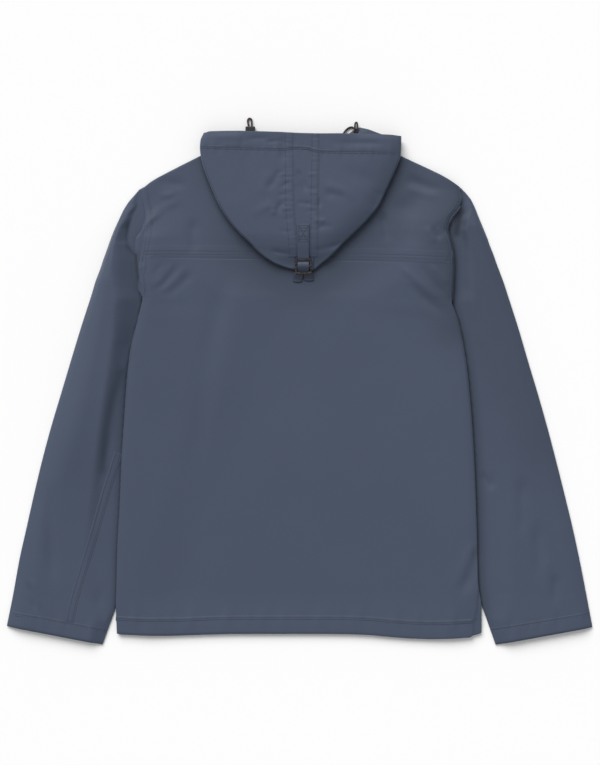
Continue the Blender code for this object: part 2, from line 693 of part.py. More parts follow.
def make_gusset():
    """The strip between the hood's halves, from the rim over the fold and back to the neck."""
    line = [(y, left, right) for y, e, left, right, f in HOOD_ROWS]
    turn_y = HOOD_BOTTOM_Y + WALL / 2 + HOOD_FOLD_WIDTH
    upper = [row for row in line if row[0] > turn_y + 1]
    rows = []

    def across(y, left, right, height, index, low=False):
        points = []
        for share in (0.0, 0.33, 0.67, 1.0):
            x = blend(left + SEAM / 2, right - SEAM / 2, share)
            points.append((x, y + rim_shift(x, index, low), height(x, y)))
        return points

    for index, (y, left, right) in enumerate(upper):
        rows.append(across(y, left, right, hood_top_height, index))
    last_left, last_right = upper[-1][1:]
    middle = (last_left + last_right) / 2
    top_z = hood_top_height(middle, turn_y)
    low_z = hood_low_height(middle, turn_y)
    radius = (top_z - low_z) / 2
    for part in (0, 30, 60, 90, 120, 150, 180):
        angle = math.radians(part)
        y = turn_y - HOOD_FOLD_WIDTH * math.sin(angle)
        z = top_z - radius * (1 - math.cos(angle))
        points = []
        for share in (0.0, 0.33, 0.67, 1.0):
            x = blend(last_left + SEAM / 2, last_right - SEAM / 2, share)
            points.append((x, y, z))
        rows.append(points)
    for y, left, right in reversed(upper[:-1]):
        if y < neck_edge(0) - 3:
            rows.append(across(y, left, right, hood_low_height, 9, True))
    cloth("hood_gusset", [rows], SLATE)


# ---------------------------------------------------------------- strap and slider

def slider_frame(u, v):
    """A place in the slider's plane: u across, v along, up out of it; returns x, y, z."""
    tilt = math.radians(SLIDER_TILT)
    return STRAP_X + u, SLIDER_Y + v * math.cos(tilt), SLIDER_Z + v * math.sin(tilt)


def make_strap():
    """The tab from the hood's gusset, under the slider's upper bar and over its middle bar."""
    stations = []
    for y in (STRAP_TOP_Y, 226.0, 218.0, 209.0, 200.0, 192.0):
        stations.append((y, hood_top_height(STRAP_X, y) + WALL / 2 + STRAP_GAP + STRAP_WALL / 2))
    for v, lifted in STRAP_WEAVE:
        x, y, z = slider_frame(0, v)
        stations.append((y, z + lifted))
    rows = []
    for y, z in stations:
        narrow = blend(STRAP_HALF, 8.0, ease((STRAP_TOP_Y - y) / 40))
        rows.append([(STRAP_X + share * narrow, y, z) for share in (-1, -0.33, 0.33, 1)])
    cloth("hood_strap", [rows], SLATE, STRAP_WALL)
    return stations[-1]


def make_strap_ends(start):
    """The strap's two splayed ends below the slider, with a notch between them."""
    start_y, start_z = start
    floor_z = back_height(STRAP_X, start_y - 12) + WALL / 2 + STRAP_GAP + STRAP_WALL / 2
    for name, side, splay, lean in (("strap_end_left", -1, 6.0, 0.0),
                                    ("strap_end_right", 1, 7.0, 1.0)):
        rows = []
        for step in range(6):
            share = step / 5
            y = start_y - SEAM - 0.2 - (TAIL_LENGTH + lean) * share
            z = blend(start_z, floor_z, ease(share * 1.1))
            outer = STRAP_X + side * (8.5 + splay * share)
            inner = STRAP_X + side * (0.25 + 3.2 * ease((share - 0.35) / 0.65))
            rows.append([(blend(outer, inner, part), y, z) for part in (0.0, 0.5, 1.0)])
        cloth(name, [rows], SLATE_DARK, STRAP_WALL)


def make_slider():
    """A flat metal frame with two slots and a hidden middle bar."""
    curve = bpy.data.curves.new("hood_slider", "CURVE")
    curve.dimensions = "2D"
    curve.fill_mode = "BOTH"
    bevel = 0.35
    curve.bevel_depth = bevel * MM
    curve.bevel_resolution = 1
    curve.extrude = (SLIDER_THICK / 2 - bevel) * MM
    w, h, b = SLIDER_HALF_WIDTH, SLIDER_HALF_LENGTH, SLIDER_BAR

    def outline(points):
        spline = curve.splines.new("POLY")
        spline.points.add(len(points) - 1)
        for place, (x, y) in zip(spline.points, points):
            place.co = (x * MM, y * MM, 0, 1)
        spline.use_cyclic_u = True

    def loop(left, right, low, high, corner, bow_low=0.0, steps=6):
        points = []
        for x_sign, y_sign, start in ((1, 1, 0), (-1, 1, 90)):
            for step in range(3):
                angle = math.radians(start + 45 * step)
                cx = right - corner if x_sign > 0 else left + corner
                points.append((cx + corner * math.cos(angle), high - corner + corner * math.sin(angle)))
        for step in range(steps + 1):
            share = step / steps
            x = blend(left + 0.2, right - 0.2, share)
            points.append((x, low - bow_low * math.sin(math.pi * share)))
        return points

    e = bevel
    outline(loop(-w + e, w - e, -h + e, h - e, 1.6, SLIDER_BOW))
    outline(loop(-w + b - e, w - b + e, 1.6, h - b + e, 0.8, 0.0, 2))
    outline(loop(-w + b - e, w - b + e, -h + b - e, -1.0, 0.8, SLIDER_BOW * 0.8))
    raw = bpy.data.objects.new("hood_slider_outline", curve)
    bpy.context.scene.collection.objects.link(raw)
    bpy.context.view_layer.update()
    evaluated = raw.evaluated_get(bpy.context.evaluated_depsgraph_get())
    mesh = bpy.data.meshes.new_from_object(evaluated)
    bpy.data.objects.remove(raw)
    bm = bmesh.new()
    bm.from_mesh(mesh)
    bmesh.ops.remove_doubles(bm, verts=bm.verts, dist=0.00001)
    bmesh.ops.recalc_face_normals(bm, faces=bm.faces)
    bm.to_mesh(mesh)
    bm.free()
    slider = bpy.data.objects.new("hood_slider", mesh)
    slider.location = (STRAP_X * MM, SLIDER_Y * MM, SLIDER_Z * MM)
    slider.rotation_euler = (math.radians(SLIDER_TILT), 0, 0)
    finish(slider, BRONZE, 0.45, 1.0)


# ---------------------------------------------------------------- drawcord

def smooth_route(points, spacing):
    """Points read at an even spacing from a smooth curve through the route's own points."""
    p = [Vector(q) for q in points]
    p = [p[0] * 2 - p[1]] + p + [p[-1] * 2 - p[-2]]
    fine = []
    for i in range(1, len(p) - 2):
        for step in range(20):
            t = step / 20
            fine.append(0.5 * ((2 * p[i]) + (p[i + 1] - p[i - 1]) * t
                               + (2 * p[i - 1] - 5 * p[i] + 4 * p[i + 1] - p[i + 2]) * t * t
                               + (3 * p[i] - p[i - 1] - 3 * p[i + 1] + p[i + 2]) * t ** 3))
    fine.append(p[-2])
    lengths = [0.0]
    for a, b in zip(fine, fine[1:]):
        lengths.append(lengths[-1] + (b - a).length)
    count = max(2, round(lengths[-1] / spacing))
    result = []
    for i in range(count + 1):
        target = lengths[-1] * i / count
        result.append(tuple(float(np.interp(target, lengths, [q[axis] for q in fine]))
                            for axis in range(3)))
    return result


def make_cord(name, route):
    curve = bpy.data.curves.new(name, "CURVE")
    curve.dimensions = "3D"
    curve.bevel_depth = CORD_RADIUS * MM
    curve.bevel_resolution = 2
    curve.use_fill_caps = True
    points = smooth_route(route, 3.0)
    spline = curve.splines.new("POLY")
    spline.points.add(len(points) - 1)
    for place, point in zip(spline.points, points):
        place.co = (*(value * MM for value in point), 1)
    cord = bpy.data.objects.new(name, curve)
    finish(cord, CORD_BROWN, 0.85, 0.0)


def make_stopper():
    """A small barrel that the doubled cord runs through, with a slot right through it."""
    bpy.ops.mesh.primitive_cube_add(size=1, location=[value * MM for value in STOPPER_PLACE])
    stopper = bpy.context.object
    stopper.name = "cord_stopper"
    stopper.scale = [value * MM for value in STOPPER_SIZE]
    bpy.ops.object.transform_apply(location=False, rotation=False, scale=True)
    bevel = stopper.modifiers.new("round", "BEVEL")
    bevel.width = 1.1 * MM
    bevel.segments = 2
    bpy.ops.mesh.primitive_cube_add(size=1, location=[value * MM for value in STOPPER_PLACE])
    slot = bpy.context.object
    slot.name = "cord_stopper_slot"
    slot.scale = (STOPPER_SLOT[0] * MM, STOPPER_SIZE[1] * 2 * MM, STOPPER_SLOT[1] * MM)
    bpy.ops.object.transform_apply(location=False, rotation=False, scale=True)
    move_to(slot, "cutters")
    slot.hide_render = True
    slot.display_type = "WIRE"
    cut = stopper.modifiers.new("slot", "BOOLEAN")
    cut.operation = "DIFFERENCE"
    cut.solver = "EXACT"
    cut.object = slot
    finish(stopper, STOPPER_BLACK, 0.45, 0.0)


# ---------------------------------------------------------------- making

def material(name, colour, roughness, metallic):
    made = bpy.data.materials.new(name)
    made.use_nodes = True
    shader = made.node_tree.nodes["Principled BSDF"]
    shader.inputs["Base Color"].default_value = (*colour, 1)
    shader.inputs["Roughness"].default_value = roughness
    shader.inputs["Metallic"].default_value = metallic
    made.diffuse_color = (*colour, 1)
    return made


def collection(name):
    found = bpy.data.collections.get(name)
    if found is None:
        found = bpy.data.collections.new(name)
        bpy.context.scene.collection.children.link(found)
    return found


def move_to(piece, name):
    for holder in list(piece.users_collection):
        holder.objects.unlink(piece)
    collection(name).objects.link(piece)


def finish(piece, colour, roughness, metallic):
    piece.data.materials.clear()
    piece.data.materials.append(material(piece.name + "_material", colour, roughness, metallic))
    if piece.type == "MESH":
        piece.data.shade_smooth()
        piece.data.set_sharp_from_angle(angle=math.radians(40))
    move_to(piece, "anorak_pullover")


def cloth(name, patches, colour, wall=WALL):
    """One cloth piece from grids of points in millimetres, welded where they share points."""
    bm = bmesh.new()
    for rows in patches:
        grid = [[bm.verts.new([value * MM for value in point]) for point in row] for row in rows]
        for lower, upper in zip(grid, grid[1:]):
            for a, b, c, d in zip(lower, lower[1:], upper[1:], upper):
                bm.faces.new((a, b, c, d))
    bmesh.ops.remove_doubles(bm, verts=bm.verts, dist=0.000002)
    bmesh.ops.recalc_face_normals(bm, faces=bm.faces)
    mesh = bpy.data.meshes.new(name)
    bm.to_mesh(mesh)
    bm.free()
    piece = bpy.data.objects.new(name, mesh)
    solid = piece.modifiers.new("wall", "SOLIDIFY")
    solid.thickness = wall * MM
    solid.offset = 0
    finish(piece, colour, 0.8, 0.0)


def main():
    for item in list(bpy.data.objects):
        bpy.data.objects.remove(item)
    make_front()
    make_back()
    make_yoke()
    make_sleeve(0, "sleeve_left")
    make_sleeve(1, "sleeve_right")
    make_hood_side(0, "hood_left")
    make_hood_side(1, "hood_right")
    make_gusset()
    end = make_strap()
    make_strap_ends(end)
    make_slider()
    make_stopper()
    make_cord("drawcord_left", CORD_LEFT_ROUTE)
    make_cord("drawcord_right", CORD_RIGHT_ROUTE)
    make_cord("drawcord_right_end", CORD_KNOT_ROUTE)


main()
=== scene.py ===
"""Anorak pullover of slate cotton, laid flat on its front with its hood folded down its back."""

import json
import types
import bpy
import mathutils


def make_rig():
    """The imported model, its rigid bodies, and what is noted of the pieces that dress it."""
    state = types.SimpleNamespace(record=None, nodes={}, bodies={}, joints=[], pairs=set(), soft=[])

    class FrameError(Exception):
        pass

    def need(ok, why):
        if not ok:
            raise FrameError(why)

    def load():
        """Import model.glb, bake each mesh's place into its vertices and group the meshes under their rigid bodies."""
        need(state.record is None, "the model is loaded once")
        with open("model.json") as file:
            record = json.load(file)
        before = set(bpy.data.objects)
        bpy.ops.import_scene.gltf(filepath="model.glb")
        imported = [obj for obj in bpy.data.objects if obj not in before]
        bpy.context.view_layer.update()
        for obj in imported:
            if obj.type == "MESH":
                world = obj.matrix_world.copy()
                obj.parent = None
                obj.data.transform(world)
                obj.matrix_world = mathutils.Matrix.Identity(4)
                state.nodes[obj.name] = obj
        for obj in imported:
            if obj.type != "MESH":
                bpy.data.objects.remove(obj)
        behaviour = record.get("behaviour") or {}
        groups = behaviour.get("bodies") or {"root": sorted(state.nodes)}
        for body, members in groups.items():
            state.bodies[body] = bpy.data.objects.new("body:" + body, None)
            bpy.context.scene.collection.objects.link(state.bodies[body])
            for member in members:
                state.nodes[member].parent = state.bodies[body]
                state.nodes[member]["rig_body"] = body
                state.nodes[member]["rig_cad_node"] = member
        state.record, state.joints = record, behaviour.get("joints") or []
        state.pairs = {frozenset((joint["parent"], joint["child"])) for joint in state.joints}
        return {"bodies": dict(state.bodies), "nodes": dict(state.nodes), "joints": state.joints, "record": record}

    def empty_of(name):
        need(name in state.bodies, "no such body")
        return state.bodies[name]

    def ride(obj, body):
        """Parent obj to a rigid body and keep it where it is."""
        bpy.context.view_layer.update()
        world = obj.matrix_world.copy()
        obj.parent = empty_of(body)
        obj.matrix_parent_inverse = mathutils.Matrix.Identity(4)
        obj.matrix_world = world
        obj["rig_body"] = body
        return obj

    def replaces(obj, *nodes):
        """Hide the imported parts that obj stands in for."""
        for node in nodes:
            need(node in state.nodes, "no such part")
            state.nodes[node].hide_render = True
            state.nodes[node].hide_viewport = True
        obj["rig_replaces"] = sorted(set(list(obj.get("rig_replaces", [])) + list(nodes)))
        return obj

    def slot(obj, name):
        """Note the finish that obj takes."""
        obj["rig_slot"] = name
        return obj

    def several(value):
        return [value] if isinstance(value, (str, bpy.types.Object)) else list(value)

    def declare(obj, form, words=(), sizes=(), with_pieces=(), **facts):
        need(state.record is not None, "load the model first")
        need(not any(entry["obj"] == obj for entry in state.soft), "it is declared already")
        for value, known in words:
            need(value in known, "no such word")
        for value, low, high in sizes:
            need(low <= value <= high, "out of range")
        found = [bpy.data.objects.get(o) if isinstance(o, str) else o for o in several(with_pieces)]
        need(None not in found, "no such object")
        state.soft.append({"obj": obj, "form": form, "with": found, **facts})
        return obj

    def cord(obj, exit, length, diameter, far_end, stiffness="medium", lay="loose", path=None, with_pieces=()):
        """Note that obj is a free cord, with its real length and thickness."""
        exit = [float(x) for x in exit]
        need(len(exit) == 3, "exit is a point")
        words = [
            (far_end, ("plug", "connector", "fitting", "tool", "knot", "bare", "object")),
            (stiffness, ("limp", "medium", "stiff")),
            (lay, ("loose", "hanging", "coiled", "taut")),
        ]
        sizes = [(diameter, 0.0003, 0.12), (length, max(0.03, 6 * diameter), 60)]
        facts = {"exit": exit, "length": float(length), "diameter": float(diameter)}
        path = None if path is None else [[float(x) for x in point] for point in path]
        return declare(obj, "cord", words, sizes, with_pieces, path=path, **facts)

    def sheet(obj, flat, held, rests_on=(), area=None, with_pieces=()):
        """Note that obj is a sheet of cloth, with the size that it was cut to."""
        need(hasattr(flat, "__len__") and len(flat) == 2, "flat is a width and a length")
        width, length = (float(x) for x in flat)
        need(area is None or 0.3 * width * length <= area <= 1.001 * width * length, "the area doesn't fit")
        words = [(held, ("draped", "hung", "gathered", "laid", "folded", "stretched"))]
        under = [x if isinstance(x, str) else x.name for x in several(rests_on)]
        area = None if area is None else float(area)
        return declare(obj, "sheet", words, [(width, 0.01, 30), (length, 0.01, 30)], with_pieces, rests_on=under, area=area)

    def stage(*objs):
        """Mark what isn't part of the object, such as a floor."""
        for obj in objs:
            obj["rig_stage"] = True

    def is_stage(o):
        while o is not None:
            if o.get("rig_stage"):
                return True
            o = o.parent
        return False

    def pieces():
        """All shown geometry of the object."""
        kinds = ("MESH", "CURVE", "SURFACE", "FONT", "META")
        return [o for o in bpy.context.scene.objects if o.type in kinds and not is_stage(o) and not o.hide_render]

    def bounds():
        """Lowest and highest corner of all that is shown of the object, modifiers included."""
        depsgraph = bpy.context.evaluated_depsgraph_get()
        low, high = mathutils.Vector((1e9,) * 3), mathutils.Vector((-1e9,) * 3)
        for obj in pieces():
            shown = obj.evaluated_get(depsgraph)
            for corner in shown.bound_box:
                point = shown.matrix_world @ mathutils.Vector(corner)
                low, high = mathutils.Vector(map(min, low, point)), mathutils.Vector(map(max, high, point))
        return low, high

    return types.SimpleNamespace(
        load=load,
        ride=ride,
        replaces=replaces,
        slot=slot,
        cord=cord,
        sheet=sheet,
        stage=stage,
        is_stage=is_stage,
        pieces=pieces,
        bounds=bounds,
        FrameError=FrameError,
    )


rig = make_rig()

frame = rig.load()
solid_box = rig.bounds()

import json
import math

import bmesh
import bpy
import numpy as np
from mathutils import Vector
from mathutils.bvhtree import BVHTree

bpy.ops.object.select_all(action="DESELECT")

# Lengths are in millimetres until a mesh is made, apart from those of the cords and the studio.
MM = 0.001
LEFT, RIGHT = 0, 1
OUTWARD = (-1, 1)       # away from the garment's middle, on its left and on its right

# Cloth
WALL = 0.8              # thickness of a cloth wall
PITCH = 2.0             # from the middle of one laid layer to the middle of the next
SEAM = 0.35             # gap between two pieces at a seam
SOLE = 0.6              # middle of the lowest layer
UPPER = SOLE + PITCH
FOLD = PITCH / 2
SIDE_STEP = 2 * PITCH   # how far the two layers of a sleeve lift the body that lies on them
BACK_CROWN = 1.0        # how far the back rises between its sides
CROWN_REACH = 190.0
CROWN_FOOT_Y = -345.0
CROWN_HEAD_Y = 300.0
FRONT_RAMP = 34.0       # width over which the front comes down from a sleeve's edge
BACK_RAMP = 95.0        # the back bridges the step more softly
CORNER_RAMP = 10.0      # height over which the front comes down above the underarm
GRAIN = 3.2             # spacing of the points of a cloth mesh
HOOD_GRAIN = 1.9        # finer where the folds are small
STRAP_GRAIN = 1.5
FRONT_GRAIN = GRAIN * 3
SHORTEST_GAP = 0.02     # between two lines of a coarse grid
MOST_CUTS = 40          # into how many parts a gap of a coarse grid may be cut
WELD = 0.000002         # points closer than this become one, metres

# Cross rows of the back and yoke, from the hem to the tips of the shoulders.
# left x, left y, right x, right y
BODY_ROWS = [
    (-265, -360, 264, -359),
    (-266.6, -320.5, 264, -320.5),
    (-265.6, -286, 258.8, -286),
    (-264.5, -238, 257.8, -238),
    (-261, -174.5, 256, -174.5),
    (-258.4, -110.5, 253.4, -110.5),
    (-254.3, -46.5, 249.5, -46.5),
    (-249.8, 17, 243.6, 17),
    (-244.1, 59, 237.5, 59),
    (-235.2, 94, 230.2, 94),
    (-228, 126, 220.4, 123),
    (-229.5, 142, 221, 139),
    (-230, 158, 221.5, 153.5),
    (-228.5, 173.5, 222, 166.5),
    (-226.5, 187, 222, 179.5),
    (-224, 200, 221, 195.5),
    (-222.5, 210, 218, 210),
    (-220.5, 226, 213, 226),
    (-220, 242, 218, 242),
    (-222, 256.5, 229.5, 256.5),
    (-225, 271, 235.5, 271),
    (-225.5, 288, 233.2, 287),
]
UNDERARM_ROW = 10
YOKE_ROW = 14

# The front's armhole, a row for each body row from the underarm up.
# left x, left y, right x, right y
FRONT_ARMHOLE = [
    (-112.5, 111.5, 113.5, 111.5),
    (-125.5, 130, 126.5, 130),
    (-137, 147.5, 138.5, 147.5),
    (-149.5, 166.5, 150.5, 165),
    (-161, 185.5, 162.5, 182.5),
    (-172, 202.5, 174, 200),
    (-179, 216, 182.5, 214.5),
    (-191, 234.5, 194, 233),
    (-201.5, 250.5, 206.5, 250.5),
    (-210.5, 263.5, 216.5, 263.5),
    (-217.5, 275, 225.5, 275),
    (-224.5, 286.5, 231.5, 284.5),
]

# The outer edge of a sleeve, a row for each body row from the underarm up.
# left x, left y, right x, right y
SLEEVE_HEAD = [
    (-301.5, 134.5, 302.4, 131.5),
    (-296.3, 152, 296.9, 148.5),
    (-290, 168.5, 291.4, 163.5),
    (-284.3, 185.5, 285.9, 178),
    (-279.4, 199, 281.4, 191),
    (-274.5, 213, 276.4, 203.5),
    (-270, 224.5, 272.4, 215),
    (-262.5, 241, 265.9, 231),
    (-255, 256.5, 259.9, 245.5),
    (-247, 268.5, 254.9, 258),
    (-239.2, 277.5, 248.4, 271),
    (-232.8, 284.5, 240.2, 280.6),
]

# The outer edge of a sleeve from the underarm down to the cuff.
# y, left x, right x
SLEEVE_EDGE = [
    (131.5, -302.5, 303.2),
    (95.5, -314.2, 314.3),
    (37.5, -331.9, 331.3),
    (-20.5, -349.2, 348.7),
    (-78.5, -366.5, 364.9),
    (-136.5, -381, 379.5),
    (-194.5, -394, 394),
    (-252.5, -407, 406.6),
    (-310.5, -417.4, 417.9),
    (-348.5, -425.2, 425.3),
]
CUFF_OUTER_Y = (-348.5, -350)
CUFF_INNER_Y = (-375.3, -375.6)
CUFF_INNER_X = (-286.5, 285)
BODY_LEAVES_Y = -340.0  # below it the sleeve's own edge shows beside the body
CUFF_BAND = 0.4         # how much higher the turned cuff stands
SLEEVE_DEEPEST = -1.2   # a crease of the sleeve goes no deeper
# How the upper layer of each sleeve stands up.
# y, where the slope beside the body starts and ends from the body's edge, height, how much of
# it lies before the slope, width of the rounding at the outer edge
SLEEVE_RISE = [
    [(262, 9, 15, 2, 0, 7), (250, 18, 26, 4, 0, 7), (228, 23, 35, 6.5, 0, 7),
     (205, 7, 33, 11.5, 0, 10), (182, 3, 35, 14, 0, 14), (153, 3, 38, 16, 0, 18),
     (110, 3, 37, 17, 0, 28), (66, 3, 28, 17, 0, 34), (23, 5, 27, 17, 0.18, 40),
     (-20, 14, 31, 16.5, 0.34, 44), (-64, 17, 34, 14.5, 0.36, 46), (-108, 22, 38, 12, 0.38, 44),
     (-151, 25, 41, 9, 0.4, 40), (-194, 29, 46, 7, 0.45, 38), (-252, 28, 50, 5.6, 0.5, 34),
     (-310, 20, 45, 5.2, 0.4, 28), (-340, 10, 35, 5.6, 0.3, 24), (-376, 2, 20, 6, 0, 22)],
    [(262, 4, 14, 2, 0, 8), (250, 12, 22, 4, 0, 10), (232, 17, 28, 6, 0, 12),
     (215, 16, 28, 5.5, 0, 14), (190, 12, 28, 5, 0, 16), (139, 12, 34, 4.4, 0, 20),
     (66, 12, 34, 4, 0, 20), (-20, 12, 56, 4, 0, 22), (-108, 12, 60, 4, 0, 22),
     (-300, 8, 50, 4.6, 0, 22), (-376, 2, 24, 6, 0, 20)],
]
# How far the body stands up along its side edges.
# y, left, right
EDGE_RISE = [(286, 0, 5), (270, 0, 6.6), (256, 0.2, 7.4), (240, 1.6, 7.8), (215, 4.2, 7.6),
             (150, 5.2, 6), (125, 4.2, 4), (90, 3.6, 4.6), (0, 3, 5.2), (-200, 1.6, 4.4),
             (-300, 0.8, 2.6), (-345, 0, 0)]
UPPER_SHARES = (0, 0.05, 0.12, 0.2, 0.28, 0.36, 0.44, 0.52, 0.6, 0.68, 0.76, 0.84, 0.9, 0.95, 1)
LOWER_SHARES = (0, 0.12, 0.34, 0.56, 0.78, 1)

# The tuck that the sleeve makes behind the armhole, from the underarm up.
# left strip, right strip, left overlap, right overlap, drop, turn in degrees, how much wider
# the inner turn is made
TUCK = [
    (0.5, 0.5, 112, 103, 4, 180, 1),
    (1.5, 0.8, 85, 78, 4, 180, 2.2),
    (3.5, 0.8, 60, 56, 4, 180, 1.9),
    (6.5, 0.8, 40, 38, 4, 180, 1.7),
    (9.5, 0.8, 27, 25, 4, 180, 1.5),
    (13, 0.8, 17, 15, 4, 180, 1.4),
    (14, 0.8, 8, 7, 4, 180, 1.3),
    (6, 1, 0.3, 0.3, 3, 90, 1),
    (2, 1, 0.3, 0.3, 1.8, 55, 1),
    (1, 1, 0.5, 0.5, 0.8, 25, 1),
    (0.8, 0.8, 0.5, 0.5, 0.3, 12, 1),
    (0.5, 0.5, 0.5, 0.5, 0.15, 8, 1),
]

# Shoulders and neck
NECK_HALF = 98.0        # half the neck's width
NECK_Y = 357.0          # where the shoulders meet it
NECK_DIP = 38.5         # how far it dips in the middle
NECK_CURVE = 2.4
NECK_SNAP = 10.0        # a column this near the neck's corner is moved to it

# Columns of the body: beside each edge, past the sleeve's hidden edge, and between them
STRIP_SHARES = (0.35, 0.7)
RAMP_PLACES = (-1, 2.5, 8, 15, 23, 38)
MIDDLE_SHARES = (0.12, 0.238, 0.304, 0.37, 0.50, 0.63, 0.696, 0.762, 0.88)

# The hem's uneven line
HEM_LINE = [(-264, -359.4), (-260.5, -360.5), (-217, -362.4), (-188, -362.5), (-144, -361),
            (-101, -359.7), (0, -359.5), (44, -359.6), (73, -360), (102, -361.2),
            (131, -364), (160, -366.2), (189, -367.2), (218, -366.5), (247, -364.9),
            (251.5, -362), (258, -360.6), (264, -358)]
HEM_WIDTH = 23.0
CUFF_WIDTH = 19.0

# Hood, folded back on the yoke
# y, left edge x, left gusset x, right gusset x, right edge x
HOOD_ROWS = [
    (364.5, -139, -17.5, 22.5, 147.5),
    (356.5, -143.5, -17.2, 22.5, 147.3),
    (345, -144.3, -16.6, 22.5, 147.2),
    (331, -142.8, -15.8, 22.5, 145.8),
    (318, -139.6, -15, 22.5, 141.2),
    (300, -133.2, -14, 22.5, 133.2),
    (280, -125, -12.8, 22.5, 123.8),
    (260, -115.8, -11.4, 22.5, 114),
    (240, -103, -10, 22.5, 97.6),
    (222, -88, -8.6, 22.5, 79.4),
    (206, -71.2, -7.2, 22, 62.6),
    (194, -59.8, -6.4, 21.5, 51.6),
    (185, -48.6, -6, 21, 42),
    (178, -36.8, -5.6, 20.6, 33),
    (174.2, -27.4, -5.2, 20.2, 28.4),
    (171.9, -20.4, -5.1, 20.1, 25.6),
    (170.3, -14, -5, 20, 24),
    (169, -10, -5, 20, 22.6),
]
HOOD_BOTTOM_Y = 167.0
HOOD_MEET_X = 2.5       # where the halves' lower layers meet inside the neck
HOOD_LOW_GAP = 3.6      # from the yoke's wall to the hood's lower layer
HOOD_NECK_GAP = 2.4     # the same beside the neck
HOOD_THICK = 7.2        # from the lower layer to the upper one
HOOD_END_FALL = 5.2     # how far the strap presses the hood's end down
HOOD_RIM_Z = 14.8
RIM_START_Y = 352.0     # where the layers begin to close towards the rim
RIM_CLOSE = 14.0
RIM_LOW_Z = UPPER + 0.2
RIM_CORNER_X = 138.0    # past it the rim only turns down
RIM_FADE = (1.0, 0.55, 0.2, 0.0)
THROAT_DROP = 3.2       # how far the lower layer's rim lies below the upper one's, in plan
PRESS_TOP_Y = 200.0     # below it the strap presses on the hood
PRESS_HALF = 15.0
HOOD_SIDE_THICK = 11.6
HOOD_SIDE_X = 74.0      # from here out the hood is as thick as at its sides
PILLOW_WIDTHS = (40.0, 66.0)
HOOD_FOLD_WIDTH = 2.6
HOOD_LOW_SHARES = (0, 0.09, 0.177, 0.22, 0.32, 0.386, 0.401, 0.59, 0.8, 1)
HOOD_LOFT = 7.0         # how far air in the folded hood lifts its middle
THROAT_RAMP = 11.0      # width over which the lower layer goes down through the neck
THROAT_RIM = [(85.2, 0), (86.2, 14.9), (97, 12.5), (108, 10), (114, 7), (125, 3.4), (136, 0)]

# Strap and slider
STRAP_WALL = 1.1
STRAP_GAP = 0.35
STRAP_TOP_Y = 233.5
STRAP_HALF = 9.0
STRAP_X = 5.4
SLIDER_Y = 173.5
SLIDER_Z = 14.3
SLIDER_TILT = 17.0
STRAP_WEAVE = [(12.6, -2.3), (9.4, -2.2), (7.9, -2), (5, -0.1), (2.4, 1.9), (0.3, 2.3),
               (-1.8, 1.9), (-4.6, -0.1), (-7.6, -2.05), (-9.2, -2.4)]

# Drawcord, in metres; each route is the one that its solid follows
CORD_RADIUS = 0.00135
CORD_STEP = 0.0008      # spacing of the rings of a cord's mesh
PATH_STEP = 0.0015      # spacing of the points that say where a cord lies
SHORTEST_CORD = 0.03
CORD_LEFT_ROUTE = [
    (-0.0736, 0.3625, 0.00295), (-0.0737, 0.3645, 0.00295), (-0.0738, 0.367, 0.0031),
    (-0.0738, 0.372, 0.0032), (-0.0739, 0.377, 0.0032), (-0.0748, 0.381, 0.0027),
    (-0.0752, 0.3846, 0.002), (-0.0743, 0.3874, 0.0016), (-0.072, 0.3882, 0.0016),
    (-0.0699, 0.3864, 0.0017), (-0.0694, 0.3824, 0.0023), (-0.0694, 0.378, 0.0031),
    (-0.0694, 0.372, 0.0032), (-0.0694, 0.367, 0.0031), (-0.0693, 0.3645, 0.00295),
    (-0.0692, 0.3625, 0.00295),
]
CORD_RIGHT_ROUTE = [
    (0.0618, 0.3616, 0.00295), (0.0624, 0.3632, 0.00295), (0.0632, 0.3652, 0.0029),
    (0.0656, 0.369, 0.0022), (0.0686, 0.3724, 0.0016), (0.0724, 0.375, 0.00155),
    (0.0764, 0.3754, 0.00155), (0.0796, 0.3736, 0.00155), (0.0824, 0.3718, 0.00155),
]
CORD_KNOT_ROUTE = [
    (0.0785, 0.362, 0.00295), (0.0787, 0.364, 0.00295), (0.0792, 0.367, 0.00305),
    (0.08, 0.371, 0.0044), (0.0803, 0.376, 0.0045), (0.0808, 0.3804, 0.0044),
    (0.0823, 0.3822, 0.0044), (0.0836, 0.3802, 0.0044), (0.0838, 0.3756, 0.0045),
    (0.0839, 0.371, 0.0044), (0.0832, 0.367, 0.00305), (0.0829, 0.364, 0.00295),
    (0.0828, 0.3625, 0.00295),
]

# Creases, each a soft trough (below 0) or ridge (above 0) along a bent line
# x, y of its start, middle and end, half width, height
BACK_CREASES = [
    (-101, 182, -132, 35, -152, -150, 17, -1.7),
    (-73, 182, -112, 40, -128, -120, 22, 0.8),
    (-173, 180, -191, 155, -214, 128, 4.6, -0.9),
    (-181, 182, -198, 158, -216, 142, 3.8, 0.6),
    (-152, 170, -173, 146, -201, 127, 5.6, -1),
    (-163, 176, -184, 150, -208, 133, 4, 0.7),
    (-197, 181, -206, 168, -214, 158, 3.2, -0.5),
    (160, 152, 184, 125, 214, 97, 6.5, -1.8),
    (140, 178, 176, 146, 216, 106, 5, 1.3),
    (172, 178, 194, 150, 219, 124, 4, -1.3),
    (188, 178, 203, 160, 218, 146, 3.4, 0.8),
    (258, -230, 250, -266, 228, -312, 8.5, -2),
    (250, -222, 240, -258, 218, -296, 8, 1),
    (-60, 120, -20, 20, -35, -90, 30, -0.5),
    (120, 60, 135, -60, 118, -200, 34, 0.6),
    (40, -120, 60, -210, 35, -300, 30, -0.5),
]
